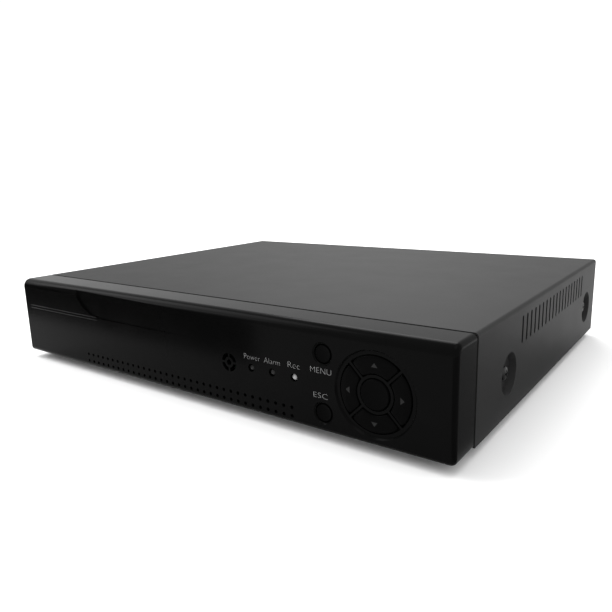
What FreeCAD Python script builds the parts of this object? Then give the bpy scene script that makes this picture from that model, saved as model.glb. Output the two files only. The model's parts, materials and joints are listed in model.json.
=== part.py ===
import FreeCAD, Part
import math
import os
import re
import Sketcher

from FreeCAD import Placement, Rotation, Vector

# Network video recorder: a bent steel cover over a steel tray, with a moulded front bezel,
# a hard disk and a main board inside, and a row of jacks on the rear panel.
# Frame: X to the right seen from the front, Y to the back, Z up, origin under the middle of
# the whole part (bezel to jack tips) at the level that the feet stand on. Millimetres.

sizes = {
    # casing
    "case_width": 255,
    "case_height": 41,
    "cover_depth": 187,
    "bezel_depth": 17.5,
    "jack_reach": 11,
    "sheet": 0.8,
    "fit_gap": 0.2,
    "bend_radius": 1.6,
    "seam_gap": 1.4,
    "foot_height": 4,
    "foot_radius": 7,
    "foot_x": 105,
    "foot_front": 16,
    "foot_rear": 171,
    # screw dishes and vent slots in the cover's sides, measured back from the seam
    "dish_radius": 8.6,
    "dish_depth": 2.5,
    "dish_front": 34.2,
    "dish_rear": 166.9,
    "dish_level": 16.7,
    "slot_first": 49,
    "slot_pitch": 5.75,
    "slot_count": 19,
    "slot_low": 25.3,
    "slot_high": 36.7,
    "slot_width": 1.9,
    # tray
    "upstand_back": 4,
    "tab_width": 18,
    "tab_height": 24,
    "flange_depth": 9,
    # bezel
    "bezel_wall": 2.2,
    "bezel_top_round": 4.2,
    "bezel_low_round": 2.2,
    "bezel_end_round": 2,
    "crease_left": -58,
    "crease_right": 20,
    "crease_level": 26.5,
    "crease_radius": 20.4,
    "crease_depth": 0.85,
    "lip_inset": 1.1,
    "lip_wall": 1.2,
    "lip_reach": 3,
    "hole_first": -70,
    "hole_pitch": 4,
    "hole_count": 34,
    "hole_radius": 0.75,
    "hole_low": 3.1,
    "hole_high": 6.6,
    "boss_radius": 3.2,
    "boss_x": 119.5,
    "boss_low": 6.5,
    "boss_high": 34.5,
    # arrow pad
    "pad_x": 98,
    "pad_level": 18.9,
    "pad_radius": 16.2,
    "pad_dish": 0.8,
    "key_dish": 0.5,
    "key_rim": 0.9,
    "petal_outer": 14,
    "petal_inner": 7.5,
    "rib_half": 0.45,
    "button_gap": 0.35,
    "flange_edge": 0.9,
    "flange_thick": 0.8,
    "centre_radius": 5.7,
    "petal_post": 10.5,
    # round keys
    "key_x": 76.7,
    "menu_level": 30.2,
    "escape_level": 7.6,
    "key_radius": 3.5,
    "key_recess": 0.3,
    "post_radius": 1.9,
    # lamps and infrared window
    "lamp_x": 42.1,
    "lamp_pitch": 10.7,
    "lamp_level": 18.9,
    "lamp_radius": 1.5,
    "window_x": 30,
    "window_level": 19.2,
    "window_centre": 1.2,
    "window_inner": 2.3,
    "window_outer": 3.9,
    # front board and its switches
    "panel_back": 9,
    "panel_left": 24,
    "panel_right": 113.5,
    "panel_low": 3.5,
    "panel_high": 37,
    "panel_boss": 2.5,
    "board_thick": 1.6,
    "switch_side": 6,
    "switch_height": 3.5,
    "stem_radius": 1.7,
    "stem_reach": 0.8,
    "stem_sunk": 0.7,
    "switch_well": 1.6,
    # screws
    "screw_radius": 1.45,
    "screw_hole": 1.5,
    "screw_head": 2.8,
    "head_height": 1.8,
    # main board
    "main_half": 119,
    "main_front": 111.5,
    "main_rear": 185.5,
    "standoff_height": 5,
    "standoff_radius": 3,
    "standoff_x": 115,
    # rear jacks
    "coax_x": 53,
    "coax_pitch": 17,
    "coax_low": 15.5,
    "coax_rise": 16,
    "coax_radius": 4.8,
    "coax_nose": 4.05,
    "coax_bore": 4.05,
    "coax_collar": 6.1,
    "coax_pin": 1.1,
    "block_depth": 14,
    "audio_x": 28,
    "audio_low": 14.6,
    "audio_rise": 14,
    "audio_radius": 4.15,
    "audio_reach": 9,
    "vga_x": 2,
    "vga_screw_pitch": 25,
    "hdmi_x": -27,
    "lan_x": -50,
    "usb_x": -73,
    "power_x": -103,
    "power_pin": 1.05,
    "power_bore": 3.2,
    # hard disk
    "disk_left": -117,
    "disk_length": 147,
    "disk_width": 101.6,
    "disk_height": 26.1,
    "disk_front": 7.3,
    "disk_raise": 2,
    "disk_lid": 1.5,
    "spindle_x": 50.8,
    "platter_radius": 47.5,
    "platter_thick": 1.3,
    "hub_radius": 12.5,
    "stub_radius": 3,
    "running_gap": 0.05,
    "arm_length": 46,
    "arm_x": 50,
    "arm_y": -28,
    "arm_rest_angle": 169.3,
}

bottom = "foot_height"
top = "(foot_height + case_height)"
front = "(-(bezel_depth + cover_depth + jack_reach) / 2)"
seam = f"({front} + bezel_depth)"
rear = f"({seam} + cover_depth)"
side = "(case_width / 2)"
floor = "(foot_height + sheet)"
tray_half = "(case_width / 2 - sheet - fit_gap)"
panel = f"({front} + panel_back)"
board_top = f"({floor} + standoff_height + board_thick)"
rear_inside = f"({rear} - sheet)"

doc = FreeCAD.newDocument("recorder")
sheet = doc.addObject("Spreadsheet::Sheet", "dims")
for row, (alias, number) in enumerate(sizes.items(), start=1):
    sheet.set(f"A{row}", alias)
    sheet.set(f"B{row}", str(number))
    sheet.setAlias(f"B{row}", alias)
doc.recompute()

sub_parts = {}


# ---- expressions and registration

def linked(text):
    """The expression with each size's name pointing at its cell in the sheet."""
    def cell(match):
        word = match.group()
        return f"dims.{word}" if word in sizes else word
    return re.sub(r"[A-Za-z_]\w*", cell, str(text))


def number(text):
    """The value of an expression, in millimetres."""
    return float(sheet.evalExpression(linked(text)))


def bind(thing, path, text):
    thing.setExpression(path, linked(text))


def sub_part(name, thing):
    """Make an object of the document the sub-part of that name."""
    thing.Label = name
    sub_parts[name] = thing
    return thing


# ---- primitives and booleans

turns = {
    "x": Rotation(Vector(0, 1, 0), 90),
    "y": Rotation(Vector(1, 0, 0), -90),
    "z": Rotation(),
}


def place(thing, at, rotation=None):
    """Put an object at a corner or centre given by three expressions."""
    if rotation is not None:
        thing.Placement = Placement(Vector(), rotation)
    for axis, text in zip("xyz", at):
        bind(thing, f"Placement.Base.{axis}", text)
    return thing


def box(at, size, rotation=None):
    """A box from its lowest corner."""
    solid = doc.addObject("Part::Box", "block")
    for path, text in zip(("Length", "Width", "Height"), size):
        bind(solid, path, text)
    return place(solid, at, rotation)


def rod(axis, at, radius, length):
    """A cylinder that starts at a point and runs along +X, +Y or +Z."""
    solid = doc.addObject("Part::Cylinder", "rod")
    bind(solid, "Radius", radius)
    bind(solid, "Height", length)
    return place(solid, at, turns[axis])


def cone(axis, at, start_radius, end_radius, length):
    solid = doc.addObject("Part::Cone", "cone")
    bind(solid, "Radius1", start_radius)
    bind(solid, "Radius2", end_radius)
    bind(solid, "Height", length)
    return place(solid, at, turns[axis])


def fuse(*solids):
    joined = doc.addObject("Part::MultiFuse", "joined")
    joined.Shapes = list(solids)
    return joined


def cut(base, *tools):
    """The base with the tools taken away; a tool that misses it is an error."""
    result = doc.addObject("Part::Cut", "cut")
    result.Base = base
    result.Tool = tools[0] if len(tools) == 1 else fuse(*tools)
    doc.recompute()
    if result.Shape.Volume > base.Shape.Volume - 1e-6:
        raise RuntimeError(f"{base.Label}: the cut takes nothing away")
    return result


def common(first, second):
    result = doc.addObject("Part::MultiCommon", "common")
    result.Shapes = [first, second]
    return result


def group(name, solids):
    """Separate solids kept as one sub-part."""
    holder = doc.addObject("Part::Compound", name)
    holder.Links = list(solids)
    return sub_part(name, holder)


# ---- sketches and features of a body

def new_body(name):
    return sub_part(name, doc.addObject("PartDesign::Body", name))


def sketch(body, role, offset="0"):
    """A sketch on one of the body's origin planes, moved along that plane's normal.

    XZ_Plane faces -Y, YZ_Plane faces +X and XY_Plane faces +Z.
    """
    made = body.newObject("Sketcher::SketchObject", "outline")
    plane = [item for item in body.Origin.OriginFeatures if item.Role == role][0]
    made.AttachmentSupport = [(plane, "")]
    made.MapMode = "FlatFace"
    bind(made, "AttachmentOffset.Base.z", offset)
    return made


def pin_point(drawing, index, point, across, up):
    """Tie a sketch point to two expressions."""
    for kind, text in (("DistanceX", across), ("DistanceY", up)):
        rule = Sketcher.Constraint(kind, -1, 1, index, point, number(text))
        bind(drawing, f"Constraints[{drawing.addConstraint(rule)}]", text)


def rectangle(drawing, left, low, right, high):
    corners = [(left, low), (right, low), (right, high), (left, high)]
    polygon(drawing, corners)


def polygon(drawing, corners):
    points = [Vector(number(across), number(up), 0) for across, up in corners]
    count = len(points)
    first = drawing.GeometryCount
    for i in range(count):
        drawing.addGeometry(Part.LineSegment(points[i], points[(i + 1) % count]))
    for i in range(count):
        follower = first + (i + 1) % count
        drawing.addConstraint(Sketcher.Constraint("Coincident", first + i, 2, follower, 1))
    for i, (across, up) in enumerate(corners):
        pin_point(drawing, first + i, 1, across, up)


def circle(drawing, across, up, radius):
    centre = Vector(number(across), number(up), 0)
    index = drawing.addGeometry(Part.Circle(centre, Vector(0, 0, 1), number(radius)))
    pin_point(drawing, index, 3, across, up)
    rule = drawing.addConstraint(Sketcher.Constraint("Radius", index, number(radius)))
    bind(drawing, f"Constraints[{rule}]", radius)


def stadium(drawing, across, low, high, half):
    """An upright slot with round ends."""
    x, radius = number(across), number(half)
    ends = (number(low) + radius, number(high) - radius)
    lower = drawing.addGeometry(Part.ArcOfCircle(
        Part.Circle(Vector(x, ends[0], 0), Vector(0, 0, 1), radius), math.pi, 2 * math.pi))
    upper = drawing.addGeometry(Part.ArcOfCircle(
        Part.Circle(Vector(x, ends[1], 0), Vector(0, 0, 1), radius), 0, math.pi))
    right = drawing.addGeometry(Part.LineSegment(
        Vector(x + radius, ends[0], 0), Vector(x + radius, ends[1], 0)))
    left = drawing.addGeometry(Part.LineSegment(
        Vector(x - radius, ends[1], 0), Vector(x - radius, ends[0], 0)))
    for first, point, second, other in ((lower, 2, right, 1), (right, 2, upper, 1),
                                        (upper, 2, left, 1), (left, 2, lower, 1)):
        drawing.addConstraint(Sketcher.Constraint("Tangent", first, point, second, other))
    rule = drawing.addConstraint(Sketcher.Constraint("Radius", lower, radius))
    bind(drawing, f"Constraints[{rule}]", half)
    pin_point(drawing, lower, 3, across, f"{low} + {half}")
    rise = drawing.addConstraint(Sketcher.Constraint("DistanceY", -1, 1, upper, 3, ends[1]))
    bind(drawing, f"Constraints[{rise}]", f"{high} - {half}")


def feature(body, kind, drawing, length, reverse, taper):
    made = body.newObject(f"PartDesign::{kind}", kind.lower())
    made.Profile = drawing
    made.Reversed = reverse
    bind(made, "Length", length)
    if taper:
        made.TaperAngle = taper
    return made


def pad(body, drawing, length, reverse=False, taper=0):
    return feature(body, "Pad", drawing, length, reverse, taper)


def pocket(body, drawing, length, reverse=False, taper=0):
    """A pocket; one that points away from the solid is an error."""
    doc.recompute()
    before = body.Shape.Volume
    made = feature(body, "Pocket", drawing, length, reverse, taper)
    doc.recompute()
    if body.Shape.Volume > before - 1e-6:
        raise RuntimeError(f"{body.Label}: a pocket cuts nothing")
    return made


def repeat(body, original, drawing, axis, length, count):
    """A row of one feature along a sketch axis."""
    made = body.newObject("PartDesign::LinearPattern", "row")
    made.Originals = [original]
    made.Direction = (drawing, [axis])
    bind(made, "Length", length)
    bind(made, "Occurrences", count)
    body.Tip = made
    doc.recompute()
    return made


def round_edges(body, radius, chosen):
    """Fillet the tip's edges that the chosen() test picks by their bounding box."""
    doc.recompute()
    base = body.Tip
    names = []
    for i, edge in enumerate(base.Shape.Edges, start=1):
        if chosen(edge.BoundBox):
            names.append(f"Edge{i}")
    made = body.newObject("PartDesign::Fillet", "rounding")
    made.Base = (base, names)
    bind(made, "Radius", radius)
    doc.recompute()
    return made


def screw(axis, head_at, length, flip):
    """A pan-head screw: head first, then its shank, along an axis or against it."""
    sign = "-" if flip else "+"
    index = "xyz".index(axis)
    head = list(head_at)
    shank = list(head_at)
    if flip:
        head[index] = f"{head_at[index]} - head_height"
        shank[index] = f"{head_at[index]} - head_height - {length}"
    else:
        shank[index] = f"{head_at[index]} {sign} head_height"
    return fuse(rod(axis, head, "screw_head", "head_height"),
                rod(axis, shank, "screw_radius", length))


# ---- casing

def make_top_cover():
    """Steel sheet bent into a U, with two pressed screw dishes and a row of slots a side."""
    body = new_body("top_cover")
    outside = sketch(body, "XZ_Plane", f"-{seam}")
    rectangle(outside, f"-{side}", bottom, side, top)
    pad(body, outside, "cover_depth", reverse=True)
    top_level = number(top)
    round_edges(body, "bend_radius", lambda b: b.YLength > 100 and b.ZMin > top_level - 0.01)
    inside = sketch(body, "XZ_Plane", f"-{seam}")
    rectangle(inside, f"-{side} + sheet", "0", f"{side} - sheet", f"{top} - sheet")
    pocket(body, inside, "cover_depth")
    for reverse in (False, True):
        outer_face = f"-{side}" if reverse else side
        inner_face = f"-{side} + sheet" if reverse else f"{side} - sheet"
        level = f"{bottom} + dish_level"
        for back in ("dish_front", "dish_rear"):
            bump = sketch(body, "YZ_Plane", inner_face)
            circle(bump, f"{seam} + {back}", level, "dish_radius")
            pad(body, bump, "dish_depth", reverse=not reverse, taper=-25)
            dish = sketch(body, "YZ_Plane", outer_face)
            circle(dish, f"{seam} + {back}", level, "dish_radius")
            pocket(body, dish, "dish_depth", reverse=reverse, taper=-25)
            hole = sketch(body, "YZ_Plane", outer_face)
            circle(hole, f"{seam} + {back}", level, "screw_hole + 0.3")
            pocket(body, hole, "dish_depth + sheet * 2", reverse=reverse)
    slot = sketch(body, "YZ_Plane", side)
    stadium(slot, f"{seam} + slot_first", f"{bottom} + slot_low", f"{bottom} + slot_high",
            "slot_width / 2")
    first = pocket(body, slot, "case_width")
    repeat(body, first, slot, "H_Axis", "slot_pitch * (slot_count - 1)", "slot_count")


def make_base_tray():
    """Steel tray: floor, front upstand, rear panel with its jack cut-outs, and screw tabs."""
    body = new_body("base_tray")
    plate = sketch(body, "XY_Plane", bottom)
    rectangle(plate, f"-{tray_half}", seam, tray_half, rear)
    pad(body, plate, "sheet")
    back = sketch(body, "XZ_Plane", f"-{rear_inside}")
    rectangle(back, f"-{tray_half}", bottom, tray_half, f"{top} - sheet - fit_gap")
    pad(body, back, "sheet", reverse=True)
    flange = sketch(body, "XY_Plane", f"{top} - sheet * 2 - fit_gap")
    rectangle(flange, f"-{tray_half}", f"{rear} - flange_depth", tray_half, rear)
    pad(body, flange, "sheet")
    upstand = sketch(body, "XZ_Plane", f"-({seam} + upstand_back)")
    rectangle(upstand, f"-{tray_half}", bottom, tray_half, f"{top} - sheet - fit_gap")
    pad(body, upstand, "sheet", reverse=True)
    for reverse in (False, True):
        make_tray_tabs(body, reverse)
    cut_upstand(body)
    cut_rear_panel(body)
    cut_floor(body)


def make_tray_tabs(body, reverse):
    """The two tabs of one side, that the cover's screws go into."""
    reach = f"({side} - dish_depth - sheet - fit_gap)"
    outer_face = f"-{reach}" if reverse else reach
    for back in ("dish_front", "dish_rear"):
        middle = f"({seam} + {back})"
        tab = sketch(body, "YZ_Plane", outer_face)
        rectangle(tab, f"{middle} - tab_width / 2", bottom,
                  f"{middle} + tab_width / 2", f"{bottom} + tab_height")
        pad(body, tab, "sheet", reverse=not reverse)
        hole = sketch(body, "YZ_Plane", outer_face)
        circle(hole, middle, f"{bottom} + dish_level", "screw_hole")
        pocket(body, hole, "sheet", reverse=reverse)


def cut_upstand(body):
    """A wide window behind the front board, a smaller one beside it, and the screw holes."""
    drawing = sketch(body, "XZ_Plane", f"-({seam} + upstand_back)")
    rectangle(drawing, "panel_left + 4", f"{bottom} + 9", "panel_right - 2", f"{top} - 8")
    rectangle(drawing, "-105", f"{bottom} + 9", "panel_left - 8", f"{top} - 8")
    for x in ("-boss_x", "boss_x"):
        for level in ("boss_low", "boss_high"):
            circle(drawing, x, f"{bottom} + {level}", "screw_hole")
    pocket(body, drawing, "sheet * 2")


def cut_rear_panel(body):
    """One opening for each jack, and a row of vent slots above the smaller ones."""
    drawing = sketch(body, "XZ_Plane", f"-{rear_inside}")
    for column in range(4):
        for row in range(2):
            circle(drawing, f"coax_x + {column} * coax_pitch",
                   f"{bottom} + coax_low + {row} * coax_rise", "coax_collar + fit_gap")
    for row in range(2):
        circle(drawing, "audio_x", f"{bottom} + audio_low + {row} * audio_rise",
               "audio_radius + 0.6")
    for x, half, low, high in (
            ("vga_x", "16", board_top, f"{board_top} + 12.9"),
            ("hdmi_x", "7.9", board_top, f"{board_top} + 6.4"),
            ("lan_x", "8.3", board_top, f"{board_top} + 13.9"),
            ("usb_x", "7.4", board_top, f"{board_top} + 16"),
            ("power_x", "4.9", board_top, f"{board_top} + 11.5")):
        rectangle(drawing, f"{x} - {half}", low, f"{x} + {half}", high)
    pocket(body, drawing, "sheet * 2")
    vent = sketch(body, "XZ_Plane", f"-{rear_inside}")
    stadium(vent, "-112", f"{top} - 13", f"{top} - 5", "slot_width / 2")
    first = pocket(body, vent, "sheet * 2")
    repeat(body, first, vent, "H_Axis", "120", "21")


def cut_floor(body):
    """Holes for the feet's stems and for the disk's screws."""
    drawing = sketch(body, "XY_Plane", floor)
    for x in ("-foot_x", "foot_x"):
        for back in ("foot_front", "foot_rear"):
            circle(drawing, x, f"{seam} + {back}", "2.5")
    for x, y in disk_screw_places():
        circle(drawing, x, y, "screw_hole + fit_gap")
    pocket(body, drawing, "sheet * 2")


def make_cover_screws():
    """A screw in each of the cover's four dishes, its head just under the side's face."""
    screws = []
    for flip, face in ((True, side), (False, f"-{side}")):
        sunk = f"({face} - dish_depth + head_height)" if flip \
            else f"({face} + dish_depth - head_height)"
        for back in ("dish_front", "dish_rear"):
            at = (sunk, f"{seam} + {back}", f"{bottom} + dish_level")
            screws.append(screw("x", at, "5", flip))
    group("cover_screws", screws)


def make_feet():
    """Round rubber feet with a stem through the floor and a bead above it."""
    for x, across in (("-foot_x", "left"), ("foot_x", "right")):
        for back, along in (("foot_front", "front"), ("foot_rear", "rear")):
            y = f"{seam} + {back}"
            foot = fuse(cone("z", (x, y, "0"), "foot_radius - 0.8", "foot_radius", "foot_height"),
                        rod("z", (x, y, "foot_height"), "2.45", "sheet"),
                        rod("z", (x, y, floor), "3.2", "1"))
            sub_part(f"foot_{along}_{across}", foot)


# ---- bezel, keys and front board

key_places = {
    "menu": ("key_x", f"({bottom} + menu_level)"),
    "escape": ("key_x", f"({bottom} + escape_level)"),
    "enter": ("pad_x", f"({bottom} + pad_level)"),
}
arrows = {"right": 0, "up": 90, "left": 180, "down": 270}
for arrow, angle in arrows.items():
    across, up = round(math.cos(math.radians(angle))), round(math.sin(math.radians(angle)))
    key_places[arrow] = (f"(pad_x + {across} * petal_post)",
                         f"({bottom} + pad_level + {up} * petal_post)")


def quarter_ring(x, level, angle, outer, inner, half_rib, start, length):
    """A quarter of a ring between two straight ribs, pointing at an angle from +X to +Z."""
    corner_x = math.sqrt(2) * math.cos(math.radians(angle))
    corner_z = math.sqrt(2) * math.sin(math.radians(angle))
    z = f"{bottom} + {level}"
    corner = (f"{x} + {corner_x:.6f} * ({half_rib})", start,
              f"{z} + {corner_z:.6f} * ({half_rib})")
    quarter = box(corner, (outer, length, outer), Rotation(Vector(0, 1, 0), 45 - angle))
    return cut(common(rod("y", (x, start, z), outer, length), quarter),
               rod("y", (x, start, z), inner, length))


def petal(arrow, outer, inner, half_rib, start, length):
    """One of the arrow pad's four quarters."""
    return quarter_ring("pad_x", "pad_level", arrows[arrow], outer, inner, half_rib,
                        start, length)


def make_front_bezel():
    """Moulded cap with rounded edges, hollow behind, and a lip that enters the cover."""
    shell = make_bezel_shell()
    pieces = [shell]
    for x in ("-boss_x", "boss_x"):
        for level in ("boss_low", "boss_high"):
            at = (x, f"{front} + bezel_wall - 0.5", f"{bottom} + {level}")
            pieces.append(rod("y", at, "boss_radius", "bezel_depth + upstand_back - bezel_wall + 0.5"))
    for x, z in panel_screw_places():
        at = (x, f"{front} + bezel_wall - 0.5", z)
        pieces.append(rod("y", at, "panel_boss", "panel_back - bezel_wall + 0.5"))
    solid = fuse(*pieces)
    tools = []
    for x in ("-boss_x", "boss_x"):
        for level in ("boss_low", "boss_high"):
            at = (x, f"{seam} - 8", f"{bottom} + {level}")
            tools.append(rod("y", at, "screw_hole", "14"))
    for x, z in panel_screw_places():
        tools.append(rod("y", (x, f"{panel} - 6", z), "screw_hole", "8"))
    for arrow in arrows:
        tools.append(petal(arrow, "petal_outer + button_gap", "petal_inner - button_gap",
                           "rib_half", front, "bezel_wall * 2"))
    for angle in (45, 135, 225, 315):
        tools.append(quarter_ring("window_x", "window_level", angle, "window_outer",
                                  "window_inner", "rib_half", front, "bezel_wall * 2"))
    for key in ("menu", "escape", "enter"):
        x, z = key_places[key]
        radius = "centre_radius" if key == "enter" else "key_radius"
        tools.append(rod("y", (x, front, z), f"{radius} + button_gap", "bezel_wall * 2"))
    sub_part("front_bezel", cut(solid, *tools))


def make_bezel_shell():
    """The bezel's shell with its dish, lamp holes, infrared window and perforations."""
    body = doc.addObject("PartDesign::Body", "bezel_shell")
    section = sketch(body, "YZ_Plane", f"-{side}")
    rectangle(section, front, bottom, f"{seam} - seam_gap", top)
    pad(body, section, "case_width")
    face, middle = number(front), number(bottom) + sizes["case_height"] / 2
    width, back = sizes["case_width"], number(f"{seam} - seam_gap")

    def at_face(b):
        return b.XLength > width - 1 and abs(b.YMin - face) + abs(b.YMax - face) < 0.01

    def at_end(b):
        return b.XLength < 0.01 and b.YMin < back - 0.01

    round_edges(body, "bezel_top_round", lambda b: at_face(b) and b.ZMin > middle)
    round_edges(body, "bezel_low_round", lambda b: at_face(b) and b.ZMax < middle)
    round_edges(body, "bezel_end_round", at_end)
    lip = sketch(body, "XZ_Plane", f"-({seam} - seam_gap)")
    rectangle(lip, f"-{side} + lip_inset", f"{bottom} + lip_inset",
              f"{side} - lip_inset", f"{top} - lip_inset")
    pad(body, lip, "seam_gap + lip_reach", reverse=True)
    hollow = sketch(body, "XZ_Plane", f"-({front} + bezel_wall)")
    inset = "(lip_inset + lip_wall)"
    rectangle(hollow, f"-{side} + {inset}", f"{bottom} + {inset}",
              f"{side} - {inset}", f"{top} - {inset}")
    pocket(body, hollow, "bezel_depth + lip_reach")
    cut_crease(body)
    dish = sketch(body, "XZ_Plane", f"-{front}")
    circle(dish, "pad_x", f"{bottom} + pad_level", "pad_radius")
    pocket(body, dish, "pad_dish", taper=-35)
    rims = sketch(body, "XZ_Plane", f"-{front}")
    for level in ("menu_level", "escape_level"):
        circle(rims, "key_x", f"{bottom} + {level}", "key_radius + key_rim")
    pocket(body, rims, "key_dish", taper=-35)
    openings = sketch(body, "XZ_Plane", f"-{front}")
    for i in range(3):
        circle(openings, f"lamp_x + {i} * lamp_pitch", f"{bottom} + lamp_level",
               "lamp_radius + 0.1")
    circle(openings, "window_x", f"{bottom} + window_level", "window_centre")
    pocket(body, openings, "bezel_wall * 2")
    for level in ("hole_low", "hole_high"):
        hole = sketch(body, "XZ_Plane", f"-{front}")
        circle(hole, "hole_first", f"{bottom} + {level}", "hole_radius")
        first = pocket(body, hole, "bezel_wall * 2")
        repeat(body, first, hole, "H_Axis", "hole_pitch * (hole_count - 1)", "hole_count")
    return body


def cut_crease(body):
    """A shallow flat cut above a curved line, deepest at its left end and gone at its right."""
    drawing = sketch(body, "XZ_Plane")
    tilt = -math.atan(sizes["crease_depth"]
                      / (sizes["crease_right"] - sizes["crease_left"] + sizes["crease_radius"]))
    turn = Rotation(Vector(0, 1, 0), math.degrees(tilt))
    drawing.AttachmentOffset = Placement(Vector(sizes["crease_right"], 0, 0), turn)
    bind(drawing, "AttachmentOffset.Base.z", f"-{front}")
    left = sizes["crease_left"] - sizes["crease_right"]
    radius = sizes["crease_radius"]
    low = number(f"{bottom} + crease_level")
    high = number(top) + 1
    centre = Vector(left, low + radius, 0)
    start = math.pi + math.asin((centre.y - high) / radius)
    arc = Part.ArcOfCircle(Part.Circle(centre, Vector(0, 0, 1), radius), start, 1.5 * math.pi)
    corners = [Vector(left, low, 0), Vector(0, low, 0), Vector(0, high, 0), arc.StartPoint]
    drawing.addGeometry(arc)
    for i in range(3):
        drawing.addGeometry(Part.LineSegment(corners[i], corners[i + 1]))
    drawing.addConstraint(Sketcher.Constraint("Tangent", 0, 2, 1, 1))
    for first in (1, 2):
        drawing.addConstraint(Sketcher.Constraint("Coincident", first, 2, first + 1, 1))
    drawing.addConstraint(Sketcher.Constraint("Coincident", 3, 2, 0, 1))
    pin_point(drawing, 0, 3, "crease_left - crease_right", f"{bottom} + crease_level + crease_radius")
    rule = drawing.addConstraint(Sketcher.Constraint("Radius", 0, radius))
    bind(drawing, f"Constraints[{rule}]", "crease_radius")
    pin_point(drawing, 2, 1, "0", f"{bottom} + crease_level")
    pin_point(drawing, 2, 2, "0", f"{top} + 1")
    drawing.addConstraint(Sketcher.Constraint("Horizontal", 3))
    pocket(body, drawing, "3", reverse=True)


def panel_screw_places():
    """Where the front board is screwed to the bezel's small bosses."""
    return [(x, f"{bottom} + {level}")
            for x in ("panel_left + 3.5", "panel_right - 3")
            for level in ("panel_low + 3", "panel_high - 3")]


def make_bezel_screws():
    """Screws from behind the tray's upstand into the bezel's long bosses."""
    screws = []
    for x in ("-boss_x", "boss_x"):
        for level in ("boss_low", "boss_high"):
            at = (x, f"({seam} + upstand_back + sheet + head_height)", f"{bottom} + {level}")
            screws.append(screw("y", at, "7", True))
    group("bezel_screws", screws)


stem_tip = f"({panel} - switch_height - stem_reach)"
flange_face = f"({front} + bezel_wall + 0.1)"


def make_keys():
    """Each key is a cap held by a flange behind the bezel, with a post to its switch."""
    for key in ("menu", "escape", "enter"):
        x, z = key_places[key]
        radius = "centre_radius" if key == "enter" else "key_radius"
        cap = rod("y", (x, f"{front} + key_recess", z), radius, "bezel_wall")
        flange = rod("y", (x, flange_face, z), f"{radius} + 0.7", "flange_thick")
        post = rod("y", (x, flange_face, z), "post_radius", f"{stem_tip} - {flange_face}")
        sub_part(f"{key}_button", fuse(cap, flange, post))
    for arrow in arrows:
        x, z = key_places[arrow]
        cap = petal(arrow, "petal_outer", "petal_inner", "rib_half + button_gap",
                    f"{front} + key_recess + 0.1", "bezel_wall")
        flange = petal(arrow, "petal_outer + flange_edge", "petal_inner - flange_edge + 0.2",
                       "rib_half - 0.15", flange_face, "flange_thick")
        post = rod("y", (x, flange_face, z), "post_radius", f"{stem_tip} - {flange_face}")
        sub_part(f"{arrow}_button", fuse(cap, flange, post))


def make_switches():
    """Tact switches on the front board, and the stem that slides in each."""
    bodies = []
    for key, (x, z) in key_places.items():
        base = box((f"{x} - switch_side / 2", f"{panel} - switch_height", f"{z} - switch_side / 2"),
                   ("switch_side", "switch_height", "switch_side"))
        well = rod("y", (x, f"{panel} - switch_height", z), "stem_radius + running_gap",
                   "switch_well")
        bodies.append(cut(base, well))
        stem = rod("y", (x, stem_tip, z), "stem_radius", "stem_reach + stem_sunk")
        sub_part(f"{key}_switch_stem", stem)
    group("switch_bodies", bodies)


def make_front_board():
    body = new_body("front_board")
    outline = sketch(body, "XZ_Plane", f"-{panel}")
    rectangle(outline, "panel_left", f"{bottom} + panel_low", "panel_right",
              f"{bottom} + panel_high")
    pad(body, outline, "board_thick", reverse=True)
    holes = sketch(body, "XZ_Plane", f"-{panel}")
    for x, z in panel_screw_places():
        circle(holes, x, z, "screw_hole + fit_gap")
    pocket(body, holes, "board_thick")


def make_lamps():
    """Three 3 mm lamps, each a domed cylinder on a spacer that stands on the front board."""
    for i, name in enumerate(("power_lamp", "alarm_lamp", "record_lamp")):
        x = f"lamp_x + {i} * lamp_pitch"
        z = f"{bottom} + lamp_level"
        dome = doc.addObject("Part::Sphere", "dome")
        bind(dome, "Radius", "lamp_radius")
        place(dome, (x, f"{front} + 0.2 + lamp_radius", z))
        stalk = rod("y", (x, f"{front} + 0.2 + lamp_radius", z), "lamp_radius",
                    f"{panel} - {front} - 0.2 - lamp_radius")
        spacer = rod("y", (x, f"{panel} - 4", z), "lamp_radius + 0.5", "4")
        sub_part(name, fuse(dome, stalk, spacer))


def make_infrared_receiver():
    """Remote receiver: a moulded block with a lens bump facing the window."""
    z = f"{bottom} + window_level"
    block = box(("window_x - 3", f"{panel} - 4", f"{z} - 3.5"), ("6", "4", "7"))
    lens = rod("y", ("window_x", f"{front} + bezel_wall + 0.6", z), "2.6",
               f"{panel} - {front} - bezel_wall - 2")
    sub_part("infrared_receiver", fuse(block, lens))


# ---- main board

def make_main_board():
    body = new_body("main_board")
    outline = sketch(body, "XY_Plane", f"{board_top} - board_thick")
    rectangle(outline, "-main_half", f"{seam} + main_front", "main_half", f"{seam} + main_rear")
    pad(body, outline, "board_thick")
    holes = sketch(body, "XY_Plane", board_top)
    for x, y in standoff_places():
        circle(holes, x, y, "screw_hole + fit_gap")
    pocket(body, holes, "board_thick")


def standoff_places():
    corners = [(x, f"{seam} + {back}")
               for x in ("-standoff_x", "standoff_x")
               for back in ("main_front + 4", "main_rear - 4")]
    return corners + [("0", f"{seam} + main_front + 4")]


def make_standoffs():
    group("board_standoffs", [
        cut(rod("z", (x, y, floor), "standoff_radius", "standoff_height"),
            rod("z", (x, y, f"{floor} + 1"), "screw_hole", "standoff_height"))
        for x, y in standoff_places()])


def make_board_screws():
    """The main board's screws from above and the front board's from behind."""
    screws = [screw("z", (x, y, f"({board_top} + head_height)"), "5", True)
              for x, y in standoff_places()]
    screws += [screw("y", (x, f"({panel} + board_thick + head_height)", z), "6", True)
               for x, z in panel_screw_places()]
    group("board_screws", screws)


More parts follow.
